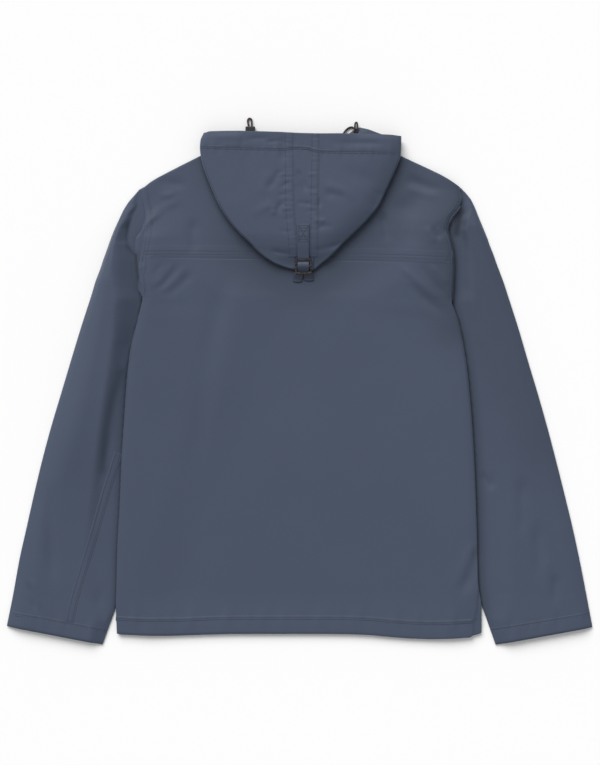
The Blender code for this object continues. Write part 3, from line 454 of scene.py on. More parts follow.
YOKE_CREASES = [
    (-151, 247, -155, 215, -152, 188, 8, -1.3),
    (-206, 252, -190, 262, -170, 272, 6, 0.8),
    (-205, 279, -192, 277, -178, 280, 4.5, 1),
    (-205, 299, -185, 294, -158, 290, 6.5, -1.1),
    (149, 306, 178, 291, 211, 283, 7.5, -1.8),
    (150, 292, 178, 280, 205, 274, 6, 1),
    (118, 256, 124, 232, 128, 206, 6, -2),
    (150, 282, 158, 240, 166, 196, 16, -1.8),
    (191, 231, 198, 220, 205, 210, 4, -1.5),
    (182, 232, 190, 218, 197, 206, 4.5, 0.9),
]
# across the armhole seams, on the body and on the sleeve's tuck
ARMHOLE_CREASES = [
    (-202, 249, -220, 236, -242, 208, 4, 0.9),
    (-196, 258, -214, 246, -232, 228, 7, 0.8),
    (-226, 182, -232, 160, -231, 136, 5, 0.8),
    (196, 236, 206, 226, 212, 214, 4.5, -0.8),
]
SLEEVE_CREASES = {
    "sleeve_left": [
        (-247, 236, -250, 220, -249, 206, 2.4, -1.2),
        (-272, -60, -281, -110, -292, -180, 3, -0.7),
        (-280, -100, -286, -140, -300, -190, 2.4, 0.6),
        (-357, -136, -360, -220, -352, -300, 9, -1.6),
        (-372, -150, -378, -230, -372, -310, 10, 1),
        (-396, -280, -388, -306, -382, -332, 3.6, -1.4),
        (-389, -276, -381, -302, -374, -330, 3.6, 0.9),
        (-300, 90, -325, -40, -340, -160, 22, 1.2),
        (-286, -285, -290, -308, -289, -328, 6, -0.6),
    ],
    "sleeve_right": [
        (262, -123, 272, -140, 281, -152, 4, -1.4),
        (281, -152, 280, -136, 280, -122, 3.6, -1.1),
        (320, -126, 323, -175, 319, -222, 8, -1.4),
        (344, -190, 346, -240, 344, -286, 8, -1.4),
        (369, -270, 371, -295, 369, -322, 6, -1.2),
        (357, -240, 360, -275, 357, -310, 7, 0.8),
        (243, 215, 249, 120, 262, 20, 8, 0.9),
        (300, 110, 330, -20, 350, -120, 24, 0.6),
    ],
}
HOOD_CREASES = [
    (-25, 312, -36, 298, -48, 279, 4.6, -1.1),
    (-38, 312, -51, 292, -59, 270, 7.5, 0.5),
    (-14, 295, -21, 290, -29, 285, 3, -0.8),
    (-28, 247, -29, 259, -18, 267, 3.6, -1),
    (-36, 262, -38, 253, -36, 243, 4, 0.9),
    (-5, 312, 4, 296, 10, 273, 4, -1.3),
    (-12, 312, -8, 298, -4, 286, 3.4, 0.5),
    (29, 294, 58, 282, 84, 266, 7, 0.9),
    (31, 275, 52, 276, 70, 269, 6, -0.8),
    (-5, 265, 8, 263, 20, 262, 3.2, -0.9),
    (28, 273, 28.5, 264, 28, 254, 3, -1),
    (-33, 265, -52, 256, -73, 246, 6, 0.7),
    (19, 238, 29, 238.5, 40, 237.5, 3, 1),
    (-46, 197, -24, 192, -4, 192, 3.4, -1.1),
    (14, 194, 42, 200, 67, 208, 4, -0.9),
    (20, 186, 44, 193, 62, 202, 4, 0.3),
    (120, 282, 112, 268, 98, 252, 12, -1),
    (-84, 355, -58, 357, -32, 357, 3, -0.6),
    (-52, 352, -38, 352.5, -22, 354.5, 2.6, -0.8),
    (-23, 362, -24, 340, -22, 318, 4.8, -1.3),
    (-128, 359, -100, 360, -66, 359, 5, 0.7),
    (40, 350, 90, 350, 135, 349, 4.5, -0.9),
    (-34, 301, -25, 305, -15, 304, 2.4, 0.6),
    (-32, 273, -22, 276, -12, 275, 2.6, -0.6),
    (-28, 257, -19, 255, -10, 257, 2.6, 0.6),
    (-24, 239, -16, 241, -9, 240, 2.6, -0.5),
    (-30, 226, -18, 222, -9, 225, 3.2, -0.6),
    (11, 303, 18, 305, 27, 303, 2.6, 0.5),
    (9, 286, 18, 284, 28, 286, 2.6, -0.5),
    (8, 250, 16, 252, 27, 250, 2.6, -0.5),
    (24, 226, 36, 230, 50, 228, 4, -0.8),
    (60, 318, 92, 300, 118, 296, 12, -1),
]


def ease(value):
    """0 below 0, 1 above 1 and a smooth step between."""
    t = np.clip(value, 0.0, 1.0)
    return t * t * (3 - 2 * t)


def blend(first, second, weight):
    """first where weight is 0, second where it is 1."""
    return first + (second - first) * weight


def column(rows, index):
    """One column of a table."""
    return [row[index] for row in rows]


def value_at(table, place, index=1, key=0):
    """A column of a table read at a place along its key column, which may rise or fall."""
    rows = table if table[0][key] < table[-1][key] else table[::-1]
    return np.interp(place, column(rows, key), column(rows, index))


def on_side(row, side):
    """x and y that a row of a table gives for one side."""
    return row[2 * side], row[2 * side + 1]


def towards(start, end):
    """Unit direction from one place to another, in plan."""
    return Vector((end[0] - start[0], end[1] - start[1])).normalized()


def add_object(name, data):
    """An object of some data, in the scene."""
    made = bpy.data.objects.new(name, data)
    bpy.context.scene.collection.objects.link(made)
    return made


# ---- camera, floor and light

IMAGE_WIDTH = 600
MM_PER_PIXEL = 1.45
# in metres
CAMERA_PLACE = (0.0006, 0.0048, 2.6)
SCALE_HEIGHT = 0.006    # where a pixel covers just MM_PER_PIXEL
FLOOR_SIZE = 9.0
FLOOR_Z = -0.0004
SENSOR_WIDTH = 36.0
FLOOR_PAINT = {"Base Color": (0.912, 0.912, 0.912, 1), "Roughness": 0.9, "Specular IOR Level": 0.1}
LAMP_WAY = (0.28, -0.73, -0.62)
LAMP_SPREAD = 44        # degrees
LAMP_STRENGTH = 3.0
SKY_STRENGTH = 0.5


def set_camera():
    """Straight above the garment, with the neck at the top."""
    camera = add_object("camera", bpy.data.cameras.new("camera"))
    camera.location = CAMERA_PLACE
    camera.data.sensor_fit = "HORIZONTAL"
    camera.data.sensor_width = SENSOR_WIDTH
    away = CAMERA_PLACE[2] - SCALE_HEIGHT
    camera.data.lens = SENSOR_WIDTH * away / (IMAGE_WIDTH * MM_PER_PIXEL * MM)
    bpy.context.scene.camera = camera


def set_studio():
    """A pale floor, one soft lamp from the upper left and an even sky."""
    bpy.ops.mesh.primitive_plane_add(size=FLOOR_SIZE, location=(0, 0, FLOOR_Z))
    floor = bpy.context.object
    floor.name = "studio_floor"
    bpy.ops.object.transform_apply(location=True, rotation=True, scale=True)
    floor.data.materials.append(new_material("floor_paint", FLOOR_PAINT)[0])
    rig.stage(floor)
    lamp = add_object("key_lamp", bpy.data.lights.new("key_lamp", "SUN"))
    lamp.data.energy = LAMP_STRENGTH
    lamp.data.angle = math.radians(LAMP_SPREAD)
    lamp.data.color = (1.0, 0.99, 0.98)
    lamp.rotation_euler = Vector(LAMP_WAY).to_track_quat("-Z", "Y").to_euler()
    world = bpy.data.worlds.new("studio_sky")
    world.use_nodes = True
    background = world.node_tree.nodes["Background"]
    background.inputs["Color"].default_value = (0.98, 0.99, 1.0, 1)
    background.inputs["Strength"].default_value = SKY_STRENGTH
    bpy.context.scene.world = world
    bpy.context.scene.view_settings.view_transform = "Standard"


# ---- materials

def new_group(name, values):
    """A node group that takes a Vector and some named values, for a Height and a Tone."""
    group = bpy.data.node_groups.new(name, "ShaderNodeTree")
    sockets = group.interface
    sockets.new_socket(name="Vector", in_out="INPUT", socket_type="NodeSocketVector")
    for label, value in values.items():
        socket = sockets.new_socket(name=label, in_out="INPUT", socket_type="NodeSocketFloat")
        socket.default_value = value
    for label in ("Height", "Tone"):
        sockets.new_socket(name=label, in_out="OUTPUT", socket_type="NodeSocketFloat")
    return group, group.nodes.new("NodeGroupInput").outputs, group.nodes.new("NodeGroupOutput").inputs


def put(tree, value, socket):
    """Links a socket to another, or sets it to a plain number or colour."""
    if isinstance(value, bpy.types.NodeSocket):
        tree.links.new(value, socket)
    else:
        socket.default_value = value


def maths(tree, operation, *values):
    """One step of arithmetic on sockets and plain numbers."""
    node = tree.nodes.new("ShaderNodeMath")
    node.operation = operation
    for socket, value in zip(node.inputs, values):
        put(tree, value, socket)
    return node.outputs[0]


def noise(tree, vector, scale, detail, roughness=0.5):
    """Cloudy noise at some places."""
    node = tree.nodes.new("ShaderNodeTexNoise")
    settings = {"Vector": vector, "Scale": scale, "Detail": detail, "Roughness": roughness}
    for label, value in settings.items():
        put(tree, value, node.inputs[label])
    return node.outputs["Fac"]


def split_plan(tree, vector):
    """The first two coordinates of a vector."""
    split = tree.nodes.new("ShaderNodeSeparateXYZ")
    tree.links.new(vector, split.inputs[0])
    return split.outputs["X"], split.outputs["Y"]


def weave_group():
    """Plain weave from flat coordinates in metres: yarns over and under, uneven in thickness."""
    group, start, end = new_group("plain_weave", {"Yarn": 0.0005, "Slub": 0.3})
    turns = maths(group, "DIVIDE", math.pi, start["Yarn"])
    ways = [maths(group, "MULTIPLY", way, turns) for way in split_plan(group, start["Vector"])]
    warp, weft = (maths(group, "ABSOLUTE", maths(group, "SINE", way)) for way in ways)
    halves = [maths(group, "SINE", maths(group, "MULTIPLY", way, 0.5)) for way in ways]
    over = maths(group, "MULTIPLY_ADD", maths(group, "MULTIPLY", *halves), 0.5, 0.5)
    under = maths(group, "SUBTRACT", 1.0, over)
    yarns = maths(group, "ADD", maths(group, "MULTIPLY", warp, over),
                  maths(group, "MULTIPLY", weft, under))
    stretched = group.nodes.new("ShaderNodeMapping")
    stretched.inputs["Scale"].default_value = (1.0, 9.0, 1.0)
    group.links.new(start["Vector"], stretched.inputs["Vector"])
    slub = noise(group, stretched.outputs["Vector"], 160.0, 3.0)
    uneven = maths(group, "MULTIPLY", maths(group, "SUBTRACT", slub, 0.5), start["Slub"])
    group.links.new(maths(group, "ADD", yarns, uneven), end["Height"])
    group.links.new(maths(group, "ADD", maths(group, "MULTIPLY", yarns, 0.6), uneven), end["Tone"])
    return group


def rub_group():
    """Soft unevenness of worn cloth: a broad mottle and a fine crumple."""
    group, start, end = new_group("soft_rub", {"Broad": 0.5, "Fine": 0.5})
    broad = noise(group, start["Vector"], 9.0, 2.0, 0.45)
    middle = noise(group, start["Vector"], 42.0, 3.0)
    fine = noise(group, start["Vector"], 210.0, 2.0)
    crumple = maths(group, "MULTIPLY", middle, maths(group, "MULTIPLY", start["Fine"], 0.35))
    mottle = maths(group, "MULTIPLY", broad, start["Broad"])
    group.links.new(maths(group, "ADD", mottle, crumple), end["Height"])
    tone = maths(group, "ADD", maths(group, "MULTIPLY", broad, 0.6), maths(group, "MULTIPLY", fine, 0.4))
    group.links.new(tone, end["Tone"])
    return group


WEAVE = weave_group()
RUB = rub_group()


def placed(tree, group, vector, **values):
    """Puts a node group into a material and gives its outputs."""
    node = tree.nodes.new("ShaderNodeGroup")
    node.node_tree = group
    tree.links.new(vector, node.inputs["Vector"])
    for label, value in values.items():
        node.inputs[label].default_value = value
    return node.outputs


def mix_colour(tree, factor, first, second):
    """One colour where the factor is 0, another where it is 1."""
    node = tree.nodes.new("ShaderNodeMix")
    node.data_type = "RGBA"
    for label, value in {"Factor": factor, "A": first, "B": second}.items():
        put(tree, value, node.inputs[label])
    return node.outputs["Result"]


def scaled(colour, factor):
    """A colour made darker or lighter."""
    return tuple(value * factor for value in colour[:3]) + (1.0,)


def bump(tree, height, distance, strength, under=None):
    """Normals of a relief, which may lie on top of another one's."""
    node = tree.nodes.new("ShaderNodeBump")
    node.inputs["Distance"].default_value = distance
    node.inputs["Strength"].default_value = strength
    tree.links.new(height, node.inputs["Height"])
    if under is not None:
        tree.links.new(under, node.inputs["Normal"])
    return node.outputs["Normal"]


def new_material(name, values):
    """A material, its nodes and its shader, on whose own sockets the values are set."""
    made = bpy.data.materials.new(name)
    made.use_nodes = True
    shader = made.node_tree.nodes["Principled BSDF"]
    for label, value in values.items():
        shader.inputs[label].default_value = value
    return made, made.node_tree, shader


def own_place(tree):
    """Places on the object itself, in metres."""
    return tree.nodes.new("ShaderNodeTexCoord").outputs["Object"]


def finish_surface(tree, shader, colour, roughness, normal):
    """Gives a shader its colour, roughness and relief."""
    for label, value in {"Base Color": colour, "Roughness": roughness, "Normal": normal}.items():
        put(tree, value, shader.inputs[label])


def cloth_material(name, dark, light, yarn, painted_shade_depth):
    """Close woven cotton: painted shade in the seam grooves and where other pieces lie on it, a faint mottle and a
    soft sheen.
    """
    made, tree, shader = new_material(name, {
        "Specular IOR Level": 0.28, "Sheen Weight": 0.22, "Sheen Roughness": 0.4,
        "Sheen Tint": (0.75, 0.85, 1.0, 1)})
    place = own_place(tree)
    weave = placed(tree, WEAVE, place, Yarn=yarn)
    rub = placed(tree, RUB, place)
    tone = maths(tree, "ADD", maths(tree, "MULTIPLY", rub["Tone"], 0.75),
                 maths(tree, "MULTIPLY", weave["Tone"], 0.25))
    # the seam attribute holds painted shade, for the grooves and for where other pieces lie on the cloth
    groove = tree.nodes.new("ShaderNodeAttribute")
    groove.attribute_name = "seam"
    shaded = maths(tree, "MULTIPLY", groove.outputs["Fac"], painted_shade_depth)
    colour = mix_colour(tree, shaded, mix_colour(tree, tone, dark, light), scaled(dark, 0.35))
    rough = maths(tree, "MULTIPLY_ADD", weave["Tone"], 0.08, 0.58)
    soft = bump(tree, rub["Height"], 0.002, 0.35)
    finish_surface(tree, shader, colour, rough, bump(tree, weave["Height"], 0.00012, 0.35, soft))
    return made


def metal_material(name, colour, worn):
    """Darkened bronze, rubbed bright in places."""
    made, tree, shader = new_material(name, {"Metallic": 1.0})
    patches = noise(tree, own_place(tree), 420.0, 4.0, 0.6)
    bright = maths(tree, "MULTIPLY", maths(tree, "SUBTRACT", patches, 0.42), 4.0)
    rubbed = maths(tree, "SMOOTH_MIN", bright, 1.0, 0.1)
    finish_surface(tree, shader, mix_colour(tree, rubbed, colour, worn),
                   maths(tree, "MULTIPLY_ADD", patches, 0.3, 0.18), bump(tree, patches, 0.0002, 0.25))
    return made


def plastic_material(name, colour):
    """Moulded plastic with a fine grain."""
    made, tree, shader = new_material(name, {})
    grain = noise(tree, own_place(tree), 1400.0, 3.0)
    finish_surface(tree, shader, mix_colour(tree, grain, colour, scaled(colour, 1.6)),
                   maths(tree, "MULTIPLY_ADD", grain, 0.2, 0.35), bump(tree, grain, 0.0002, 0.3))
    return made


BRAID_PITCH = 1.7       # mm along the cord
BRAID_STRANDS = 4


def cord_material(name, dark, light):
    """Braided cord: two sets of strands crossing round it."""
    made, tree, shader = new_material(name, {"Specular IOR Level": 0.25})
    line = tree.nodes.new("ShaderNodeUVMap")
    line.uv_map = "along_cord"
    x, y = split_plan(tree, line.outputs["UV"])
    along = maths(tree, "MULTIPLY", x, 2 * math.pi / BRAID_PITCH)
    around = maths(tree, "MULTIPLY", y, 2 * math.pi * BRAID_STRANDS)
    sets = [maths(tree, "SINE", maths(tree, way, along, around)) for way in ("ADD", "SUBTRACT")]
    strands = maths(tree, "MULTIPLY_ADD", maths(tree, "MAXIMUM", *sets), 0.5, 0.5)
    finish_surface(tree, shader, mix_colour(tree, strands, dark, light), 0.8,
                   bump(tree, strands, 0.0004, 0.6))
    return made


SLATE = cloth_material("slate_cotton", (0.0462, 0.0615, 0.0985, 1), (0.0568, 0.0745, 0.1165, 1),
                       0.00045, 0.4)
SLATE_STRAP = cloth_material("slate_webbing", (0.046, 0.060, 0.096, 1), (0.060, 0.077, 0.119, 1),
                             0.0009, 0.5)
# thread darker than the cloth: partly its own colour, partly painted shade of the stitch grooves
THREAD = cloth_material("slate_thread", (0.027, 0.036, 0.058, 1), (0.036, 0.047, 0.074, 1),
                        0.0003, 0.0)
CORD = cord_material("drawcord_braid", (0.012, 0.010, 0.010, 1), (0.062, 0.050, 0.048, 1))
BRONZE = metal_material("aged_bronze", (0.050, 0.044, 0.042, 1), (0.17, 0.147, 0.138, 1))
BLACK = plastic_material("stopper_plastic", (0.008, 0.008, 0.009, 1))


# ---- cords

def running_sum(steps):
    """How far along each point is, from the steps between them."""
    return np.concatenate([[0.0], np.cumsum(steps)])


def spaced(line, spacing):
    """Points at an even spacing along a line of close points, and how far along they are."""
    lengths = running_sum(np.linalg.norm(np.diff(line, axis=0), axis=1))
    targets = np.linspace(0, lengths[-1], max(2, round(lengths[-1] / spacing)) + 1)
    return np.stack([np.interp(targets, lengths, values) for values in line.T], axis=1), targets


def smooth_route(points, spacing):
    """Points at an even spacing on a smooth curve through the route's own points."""
    p = [Vector(q) for q in points]
    p = [p[0] * 2 - p[1]] + p + [p[-1] * 2 - p[-2]]
    fine = []
    for a, b, c, d in zip(p, p[1:], p[2:], p[3:]):
        for step in range(20):
            t = step / 20
            fine.append(0.5 * ((2 * b) + (c - a) * t + (2 * a - 5 * b + 4 * c - d) * t * t
                               + (3 * b - a - 3 * c + d) * t ** 3))
    fine.append(p[-2])
    return spaced(np.array([tuple(q) for q in fine]), spacing)[0]


def add_mesh(name, bm, material):
    """An object made of a finished mesh, with its faces turned outwards."""
    bmesh.ops.recalc_face_normals(bm, faces=bm.faces)
    mesh = bpy.data.meshes.new(name)
    bm.to_mesh(mesh)
    bm.free()
    mesh.materials.append(material)
    mesh.shade_smooth()
    return add_object(name, mesh)


def close_rings(bm, rings):
    """Closes a tube of rings with a face on each end, and gives the faces along its sides."""
    faces = []
    for first, second in zip(rings, rings[1:]):
        for corners in zip(first, first[1:] + first[:1], second[1:] + second[:1], second):
            faces.append(bm.faces.new(corners))
    bm.faces.new(rings[0][::-1])
    bm.faces.new(rings[-1])
    return faces


def make_cord(name, route, sides=14):
    """A braided tube along a route, with flat ends and a UV map that runs along it."""
    line = smooth_route(route, CORD_STEP)
    bm = bmesh.new()
    uv = bm.loops.layers.uv.new("along_cord")
    side = Vector((0, 0, 1))
    rings = []
    for place, tangent in zip(line, np.gradient(line, axis=0)):
        tangent = Vector(tangent).normalized()
        side = (side - tangent * side.dot(tangent)).normalized()
        other = tangent.cross(side)
        ring = []
        for step in range(sides):
            angle = 2 * math.pi * step / sides
            out = (side * math.cos(angle) + other * math.sin(angle)) * CORD_RADIUS
            ring.append(bm.verts.new(Vector(place) + out))
        rings.append(ring)
    for number, face in enumerate(close_rings(bm, rings)):
        row, step = divmod(number, sides)
        corners = ((row, step), (row, step + 1), (row + 1, step + 1), (row + 1, step))
        for loop, (along, around) in zip(face.loops, corners):
            loop[uv].uv = (along * CORD_STEP / MM, around / sides)
    cord = add_mesh(name, bm, CORD)
    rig.ride(cord, "root")
    path = [tuple(point) for point in smooth_route(route, PATH_STEP)]
    length = sum(math.dist(a, b) for a, b in zip(path, path[1:]))
    return cord, path, max(SHORTEST_CORD, length)


def make_cords():
    """The drawcord's three runs outside the hood's casing; the stopper is on the first."""
    for name, node, route, beads in (("cord_loop", "drawcord_left", CORD_LEFT_ROUTE, ["cord_stopper"]),
                                     ("cord_arc", "drawcord_right", CORD_RIGHT_ROUTE, []),
                                     ("cord_end", "drawcord_right_end", CORD_KNOT_ROUTE, [])):
        cord, path, length = make_cord(name, route)
        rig.replaces(cord, node)
        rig.slot(cord, "brown_cord")
        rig.cord(cord, exit=path[0], length=round(length, 3), diameter=2 * CORD_RADIUS,
                far_end="object", stiffness="limp", lay="loose", path=path,
                with_pieces=[bpy.data.objects[bead] for bead in beads])


# ---- heights

TUCK_LEAN = 0.125       # how much lower a tuck's hidden turn lies, for each mm that it reaches in


def inner_edge(side, y):
    """x of the sleeve's inner edge, which the body hides."""
    start_x, start_y = FRONT_ARMHOLE[0][2 * side], FRONT_ARMHOLE[0][1]
    run = (CUFF_INNER_X[side] - start_x) / (CUFF_INNER_Y[side] - start_y)
    levels, edges = [start_y], [start_x]
    for row, tuck in list(zip(BODY_ROWS[UNDERARM_ROW:], TUCK))[1:]:
        x, level = on_side(row, side)
        levels.append(level - TUCK_LEAN * tuck[2 + side])
        edges.append(x + OUTWARD[side] * (tuck[side] - FOLD - tuck[2 + side]))
    return np.where(y <= start_y, start_x + run * (y - start_y), np.interp(y, levels, edges))


def carried_edge(side, y):
    """The sleeve edge that carries the body; it lags a little above the underarm."""
    foot = FRONT_ARMHOLE[0][1]
    return inner_edge(side, np.where(y > foot, np.maximum(foot, y - CORNER_RAMP - 5), y))


def lift(x, y, ramp):
    """How far the sleeves lift the body at a point, from 0 to 1."""
    strength = np.interp(y, column(BODY_ROWS[UNDERARM_ROW:], 1), column(TUCK, 4)) / TUCK[0][4]
    left = 1 - ease((x - carried_edge(LEFT, y) - 2.5) / ramp)
    right = 1 - ease((carried_edge(RIGHT, y) - x - 2.5) / ramp)
    return strength * np.maximum(left, right)


def back_height(x, y):
    """Middle of the back's and the yoke's wall."""
    raised = lift(x, y, BACK_RAMP)
    crown = BACK_CROWN * ease(1 - raised) * ease(1.4 - np.abs(x) / CROWN_REACH)
    crown = crown * ease((y - CROWN_FOOT_Y) / 60) * ease((CROWN_HEAD_Y - y) / 90)
    return UPPER + SIDE_STEP * raised + crown


def front_height(x, y):
    """Middle of the front's wall; above the underarm it lies on the floor."""
    below = ease((FRONT_ARMHOLE[0][1] + CORNER_RAMP - y) / CORNER_RAMP)
    return SOLE + SIDE_STEP * lift(x, y, FRONT_RAMP) * below


def bent_line(row, count=28):
    """Points along the bend from a crease's start past its middle to its end."""
    t = np.linspace(0, 1, count)[:, None]
    start, middle, end = (np.array(row[i:i + 2], float) for i in (0, 2, 4))
    bend = 2 * middle - (start + end) / 2
    return (1 - t) ** 2 * start + 2 * t * (1 - t) * bend + t * t * end


def crease_field(x, y, rows):
    """Sum of the soft troughs and ridges at each point."""
    total = np.zeros_like(x)
    for row in rows:
        width, height = row[6], row[7]
        line = bent_line(row)
        share = np.zeros_like(x)
        nearest = np.full(x.shape, 1e9)
        for index, (a, b) in enumerate(zip(line, line[1:])):
            along = b - a
            t = ((x - a[0]) * along[0] + (y - a[1]) * along[1]) / (along @ along)
            t = np.clip(t, 0, 1)
            away = np.hypot(x - a[0] - along[0] * t, y - a[1] - along[1] * t)
            closer = away < nearest
            nearest = np.where(closer, away, nearest)
            share = np.where(closer, (index + t) / (len(line) - 1), share)
        ends = ease(share / 0.3) * ease((1 - share) / 0.35)
        uneven = 1 + 0.22 * np.sin(share * 9 + row[0])
        total += height * ends * uneven * np.exp(-(nearest / width) ** 2)
    return total


def wobble(place, length, seed):
    """An uneven wave along a seam, about 1 high."""
    turn = 2 * np.pi * np.asarray(place) / length
    wave = np.sin(turn + seed) + 0.9 * np.sin(turn / 1.73 + 2.1 * seed + 1.3)
    return (wave + 0.5 * np.sin(turn / 0.61 + 0.7 * seed + 4.0)) / 1.6


# ---- grids of points

def slopes_along(values, knots):
    """Slopes of a smooth curve through rows of values, none of which it overshoots."""
    h = np.diff(knots).reshape(-1, *([1] * (values.ndim - 1)))
    d = np.diff(values, axis=0) / h
    slopes = np.zeros_like(values)
    slopes[0], slopes[-1] = d[0], d[-1]
    if len(d) > 1:
        w1, w2 = 2 * h[1:] + h[:-1], h[1:] + 2 * h[:-1]
        same = d[:-1] * d[1:] > 0
        safe_a = np.where(same, d[:-1], 1.0)
        safe_b = np.where(same, d[1:], 1.0)
        slopes[1:-1] = np.where(same, (w1 + w2) / (w1 / safe_a + w2 / safe_b), 0.0)
    return slopes


def plan_for(grid, axis, step):
    """Where the lines of a coarse grid lie along one way, and into how many each gap is cut."""
    moved = np.moveaxis(grid, axis, 0)
    spans = np.linalg.norm(np.diff(moved, axis=0), axis=2).mean(axis=1)
    spans = np.maximum(spans, SHORTEST_GAP)
    counts = np.clip(np.ceil(spans / step), 1, MOST_CUTS).astype(int)
    return running_sum(spans), counts


def finer_along(grid, axis, plan):
    """A grid with each gap along one way cut as the plan says, on smooth curves."""
    knots, counts = plan
    moved = np.moveaxis(grid, axis, 0)
    slopes = slopes_along(moved, knots)
    lines = []
    for i, count in enumerate(counts):
        h = knots[i + 1] - knots[i]
        s = (np.arange(count) / count).reshape(-1, 1, 1)
        lines.append((2 * s ** 3 - 3 * s ** 2 + 1) * moved[i] + (s ** 3 - 2 * s ** 2 + s) * h * slopes[i]
                     + (3 * s ** 2 - 2 * s ** 3) * moved[i + 1] + (s ** 3 - s ** 2) * h * slopes[i + 1])
    lines.append(moved[-1:])
    return np.moveaxis(np.concatenate(lines), 0, axis)


def finer(rows, step, row_plan=None, column_plan=None):
    """A fine grid through a coarse one, and the plans that made it."""
    grid = np.array(rows, float)
    row_plan = row_plan or plan_for(grid, 0, step)
    grid = finer_along(grid, 0, row_plan)
    column_plan = column_plan or plan_for(grid, 1, step)
    return finer_along(grid, 1, column_plan), row_plan, column_plan


def cloth(name, grids, material, wall=WALL):
    """One cloth piece from grids of points, welded where they share points, then thickened."""
    bm = bmesh.new()
    for grid in grids:
        rows = [[bm.verts.new(point * MM) for point in row] for row in grid]
        for lower, upper in zip(rows, rows[1:]):
            for corners in zip(lower, lower[1:], upper[1:], upper):
                bm.faces.new(corners)
    bmesh.ops.remove_doubles(bm, verts=bm.verts, dist=WELD)
    piece = add_mesh(name, bm, material)
    solid = piece.modifiers.new("wall", "SOLIDIFY")
    solid.thickness = wall * MM
    solid.offset = 0
    bpy.ops.object.select_all(action="DESELECT")
    bpy.context.view_layer.objects.active = piece
    piece.select_set(True)
    bpy.ops.object.modifier_apply(modifier="wall")
    piece.select_set(False)
    # the seam attribute holds painted shade, filled in by the seams and by the shadows painted near laps
    piece.data.attributes.new("seam", "FLOAT", "POINT")
    return piece


# ---- body

CURL = 0.7              # radius of a panel's curled edge
CURL_STEP = CURL * (1 - math.sin(math.pi / 4))
# A curled edge's points, how far in and how far down, and a plain edge's, how far in
EDGE_TURN = [(0.0, FOLD - SEAM / 2), (0.0, CURL), (CURL_STEP, CURL_STEP), (CURL, 0.0)]
EDGE_PLAIN = (0.0, 0.3, 0.6, 1.0)
HEM_Y = -360.0
HEM_SLOPE = 1 / 527.5   # how fast the hem's cross row rises towards the right
HEM_SIDES = (-267.0, 264.0)
HEM_LIFT = 3.3          # how far the back stands off the front near the hem
HEM_BAND = 0.45         # how much higher the turned hem stands
HEM_PUCKER = 0.55
# the line past which the hem's right corner rolls under, y and x
HEM_ROLL = [(-342, 251.3), (-334, 254.9), (-325, 256.6), (-294, 259.0), (-270, 263.0)]
NEAR_SIDE = 25.0        # within it a row leaves the neck's shape for its own level
ARMHOLE_FOOT_Y = 95.0   # from here up a side edge is an armhole
SIDE_SPREAD = 60.0      # how far in from a side edge the body is raised
ARMHOLE_SPREAD = (45.0, 80.0)


def edge_points(edge, inward, height, downward, turned):
    """Four points from a panel's edge inward; a turned edge curls to meet the other side."""
    x, y = edge
    start = blend(SEAM / 2, WALL / 2, turned)
    points = []
    for (turned_in, fall), plain_in in zip(EDGE_TURN, EDGE_PLAIN):
        away = start + blend(plain_in, turned_in, turned)
        px, py = x + inward[0] * away, y + inward[1] * away
        points.append((px, py, float(height(px, py)) - downward * fall * turned ** 3))
    return points


def columns_between(left, right, y):
    """x of the body's columns on one row, which follow the sleeves' hidden edges."""
    left_in = max(float(carried_edge(LEFT, y)), left + 5)
    right_in = min(float(carried_edge(RIGHT, y)), right - 5)
    first = [blend(left, left_in, share) for share in STRIP_SHARES]
    first += [left_in + place for place in RAMP_PLACES]
    last = [blend(right, right_in, share) for share in STRIP_SHARES]
    last += [right_in - place for place in RAMP_PLACES]
    middle = [blend(first[-1], last[-1], share) for share in MIDDLE_SHARES]
    return first + middle + last[::-1]


def body_row(row, height, downward, shift=0.0):
    """One cross row of a body panel; below the underarm its ends curl to meet the other panel."""
    turned = {UNDERARM_ROW - 1: 0.8, UNDERARM_ROW: 0.45}.get(row, float(row < UNDERARM_ROW))
    left_x, left_y, right_x, right_y = BODY_ROWS[row]
    points = edge_points((left_x, left_y + shift), (1, 0), height, downward, turned)
    for x in columns_between(left_x, right_x, (left_y + right_y) / 2):
        y = blend(left_y, right_y, (x - left_x) / (right_x - left_x)) + shift
        points.append((x, y, float(height(x, y))))
    points += edge_points((right_x, right_y + shift), (-1, 0), height, downward, turned)[::-1]
    return points


def shoulder_tip(x):
    """The tip of the shoulder on one side of the middle."""
    return on_side(BODY_ROWS[-1], LEFT if x < 0 else RIGHT)


def neck_edge(x):
    """y of the body's top edge: the shoulders, and the neck between them."""
    if abs(x) < NECK_HALF:
        return NECK_Y - NECK_DIP * (1 - (abs(x) / NECK_HALF) ** NECK_CURVE)
    tip_x, tip_y = shoulder_tip(x)
    bow = np.interp(abs(x), (NECK_HALF, 145, 175, 203, 216, abs(tip_x)), (0.6, 1.9, 3.1, 3.8, 3.2, 0.6))
    if x > 0:
        bow += np.interp(x, (150, 203, 222, 232), (0.0, 0.6, 0.6, 0.2))
    return float(np.interp(abs(x), (NECK_HALF, abs(tip_x)), (NECK_Y, tip_y)) + bow)


def shoulder_inward(x):
    """Unit direction from the shoulder's edge into the panel, in plan."""
    along = towards((math.copysign(NECK_HALF, x), NECK_Y), shoulder_tip(x))
    return (along.y, -along.x) if x > 0 else (-along.y, along.x)


